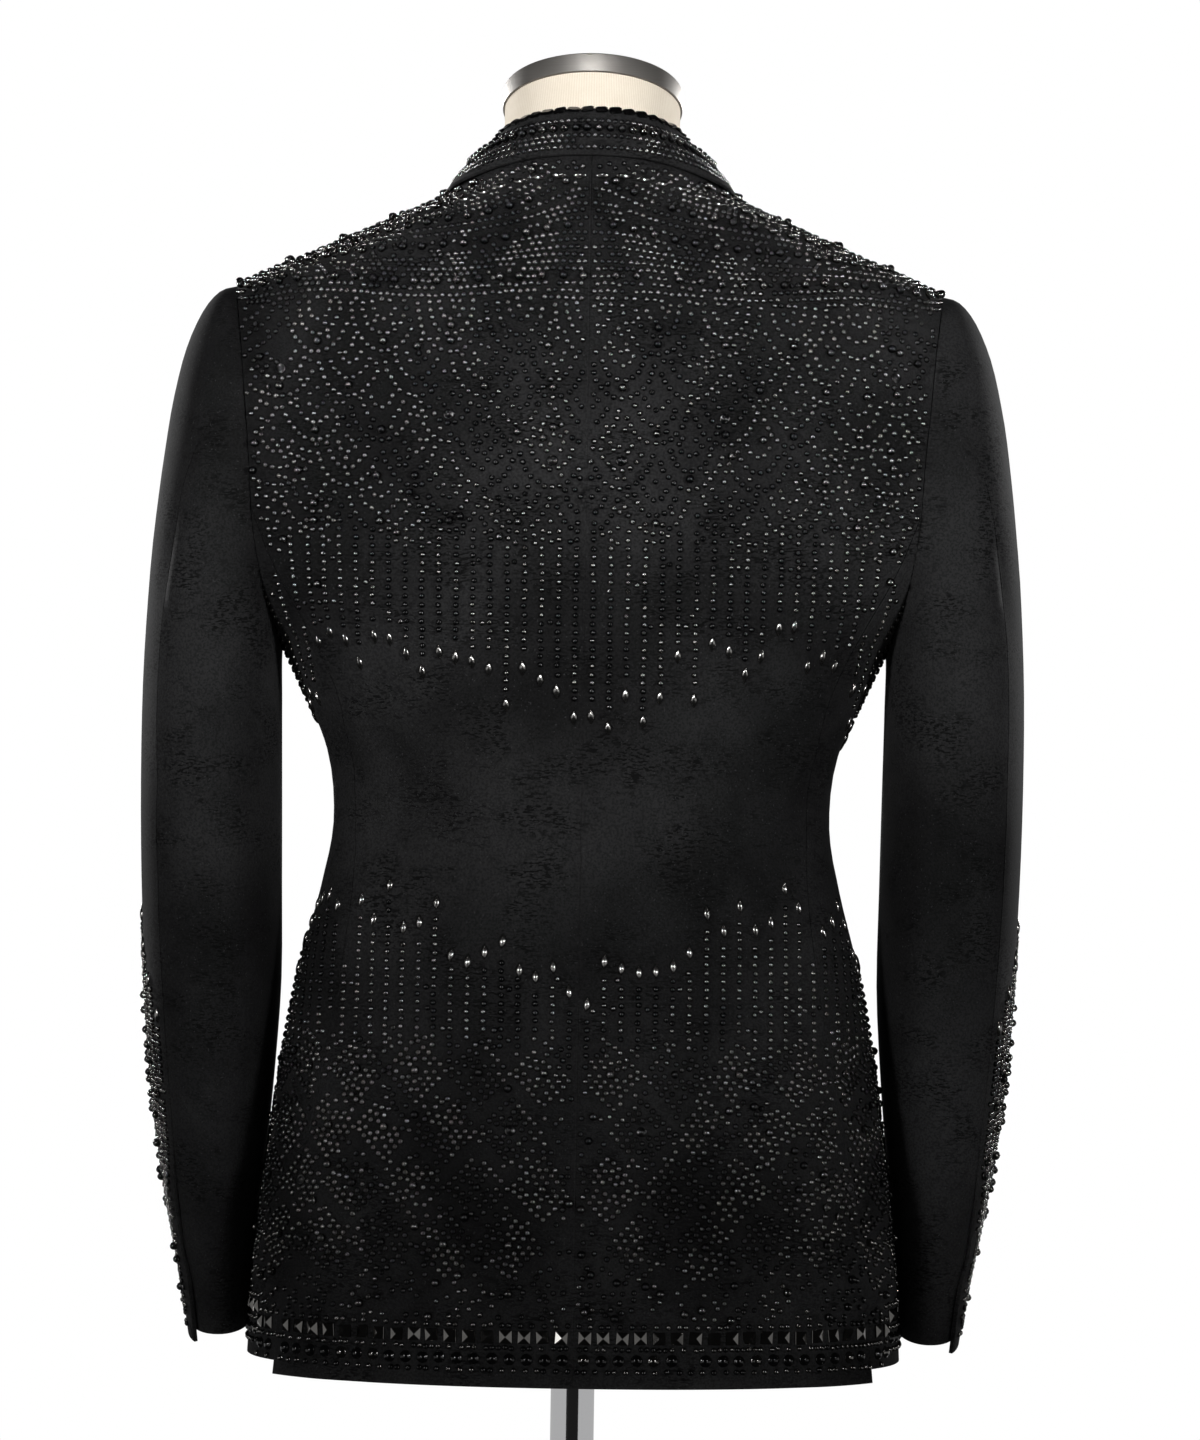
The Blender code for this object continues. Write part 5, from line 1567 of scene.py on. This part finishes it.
def beadMesh(name, panel, side):
    groups = [(row[0], *row[3:]) for row in sewn if row[1] == panel and (row[2] == side or panel == "collar")]
    points, faces, slots, flats = [], [], [], []
    count = 0
    for stone, spots, normals, spins in groups:
        (shape, shapeFaces), radius = stones[stone]
        tilt = dice.normal(0, 0.10 if stone not in smoothStones else 0.03, (len(spots), 2))
        z = unit(normals)
        up = np.zeros_like(z)
        up[:, 2] = 1.0
        up[np.abs(z[:, 2]) > 0.95] = (0, 1, 0)
        x = unit(np.cross(up, z))
        y = np.cross(z, x)
        z = unit(z + x * tilt[:, :1] + y * tilt[:, 1:])
        x = unit(np.cross(y, z))
        y = np.cross(z, x)
        c, s = np.cos(spins)[:, None], np.sin(spins)[:, None]
        axisX = x * c + y * s
        axisY = y * c - x * s
        size = radius * dice.uniform(0.96, 1.04, len(spots))
        placed = (shape[None, :, :1] * axisX[:, None] + shape[None, :, 1:2] * axisY[:, None]
                  + shape[None, :, 2:] * z[:, None]) * size[:, None, None] + spots[:, None]
        points.append(placed.reshape(-1, 3))
        for i in range(len(spots)):
            start = count + i * len(shape)
            faces.extend(tuple(start + corner for corner in face) for face in shapeFaces)
        finishIndex = np.full(len(spots), {"tile": 0, "ringed": 0, "leaf": 2}.get(stone, 1))
        if stone == "disc":
            finishIndex = (dice.random(len(spots)) < 0.2).astype(int)
        elif stone in ("jet", "pearl", "crystal"):
            finishIndex = 1 - plainJets(spots).astype(int)
        slots.extend(np.repeat(finishIndex, len(shapeFaces)).tolist())
        flats.extend([stone in smoothStones] * (len(spots) * len(shapeFaces)))
        count += len(spots) * len(shape)
    points = np.concatenate(points)
    if side < 0:
        points = points * np.array([-1.0, 1.0, 1.0])
        faces = [face[::-1] for face in faces]
    mesh = bpy.data.meshes.new(name)
    mesh.from_pydata(points.tolist(), [], faces)
    for finish in beadFinishes:
        mesh.materials.append(finish)
    mesh.polygons.foreach_set("material_index", slots)
    mesh.polygons.foreach_set("use_smooth", flats)
    mesh.update()
    piece = bpy.data.objects.new(name, mesh)
    bpy.context.collection.objects.link(piece)
    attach(piece, "root")
    triangles = sum(len(face) - 2 for face in faces)
    return piece, triangles


beads = {}
total = 0
for panel in ("back", "side", "front", "sleeve_top", "lapel"):
    for side, hand in ((1, "left"), (-1, "right")):
        name = f"{panel.replace('_top', '')}Beads_{hand}"
        beads[f"{panel}_{hand}"], triangles = beadMesh(name, panel, side)
        total += triangles
beads["collar"], triangles = beadMesh("collarBeads", "collar", 1)
total += triangles
stoneCount = sum(len(row[3]) for row in sewn)
print("bead pieces made:", len(beads), "with", stoneCount, "stones and", total, "triangles")

# Each cloth piece's cut name and hand, taken from its node name.
for nodeName, piece in pieces.items():
    cutName = nodeName.replace("_left", "").replace("_right", "")
    hand = nodeName[len(cutName):]

# Floor, light and camera
stage = {"floorSize": 2.6, "floorGlow": 0.55, "floorGap": 0.0005, "fill": 0.012, "wall": 0.47,
         "wallFoot": -0.34, "wallTop": 0.06, "wallOpening": 0.84}
bpy.ops.mesh.primitive_plane_add(size=stage["floorSize"], location=(0, 0, -stage["floorGap"]))
floor = bpy.context.object
floor.name = "studioFloor"
floorFinish = Finish("studioFloor", {"Base Color": (0.80, 0.80, 0.80), "Roughness": 0.7,
                                     "Emission Color": (1.0, 1.0, 1.0),
                                     "Emission Strength": stage["floorGlow"]})
floor.data.materials.append(floorFinish.material)
floor.visible_glossy = False

# A low white wall stands all round but behind the camera; above it the room is dim.
world = bpy.data.worlds.new("studioRoom")
bpy.context.scene.world = world
world.use_nodes = True
room = Nodes(world.node_tree)
upward = room.axis("Generated", "Z")
wall = (upward > stage["wallFoot"]) * (upward < stage["wallTop"])
wall = wall * (room.axis("Generated", "Y") < stage["wallOpening"])
seen = room.node("ShaderNodeLightPath", output="Is Camera Ray")
glow = wall * stage["wall"] + stage["fill"]
strength = room.node("ShaderNodeMath", {"operation": "MAXIMUM"}, {0: glow, 1: seen})
backdrop = world.node_tree.nodes["Background"]
room.connect(strength, backdrop.inputs["Strength"])
room.connect((1.0, 1.0, 1.0), backdrop.inputs["Color"])

# Softboxes: name, where it stands, what it faces, its size, spread in degrees and power in watts.
softboxes = (
    ("backLeft", (2.30, 2.78, 1.78), (0, 0, 1.49), 0.55, 26, 2.10),
    ("backRight", (-2.34, 2.74, 1.72), (0, 0, 1.49), 0.55, 26, 2.00),
    ("overhead", (0.1, 2.0, 3.70), (0, 0, 1.56), 0.4, 14, 0.19),
    ("frontLeft", (2.20, -2.80, 1.76), (0, 0, 1.49), 0.55, 26, 1.95),
    ("frontRight", (-2.26, -2.76, 1.70), (0, 0, 1.49), 0.55, 26, 1.85),
    ("baseBack", (1.0, 1.5, 0.68), (0, 0, 0), 0.4, 44, 1.2),
    ("baseFront", (-1.0, -1.5, 0.68), (0, 0, 0), 0.4, 44, 1.2),
)
for name, place, aim, size, spread, power in softboxes:
    lamp = bpy.data.lights.new(name, "AREA")
    lamp.shape = "SQUARE"
    lamp.size = size
    lamp.energy = power
    lamp.spread = math.radians(spread)
    holder = bpy.data.objects.new(name, lamp)
    holder.location = place
    holder.rotation_euler = (Vector(aim) - Vector(place)).to_track_quat("-Z", "Y").to_euler()
    bpy.context.collection.objects.link(holder)
bpy.context.scene.view_settings.view_transform = "Standard"
print("stage and light made")

shot = {"distance": 4.0, "across": -0.0105, "height": 1.1855, "roll": 0.9, "lens": 161.3}
lens = bpy.data.cameras.new("backView")
lens.lens = shot["lens"]
lens.sensor_width = 36
lens.clip_end = 30
camera = bpy.data.objects.new("backView", lens)
camera.location = (shot["across"], shot["distance"], shot["height"])
camera.rotation_euler = (Matrix.Rotation(math.pi, 4, "Z") @ Matrix.Rotation(math.pi / 2, 4, "X")
                         @ Matrix.Rotation(math.radians(shot["roll"]), 4, "Z")).to_euler()
bpy.context.collection.objects.link(camera)
bpy.context.scene.camera = camera
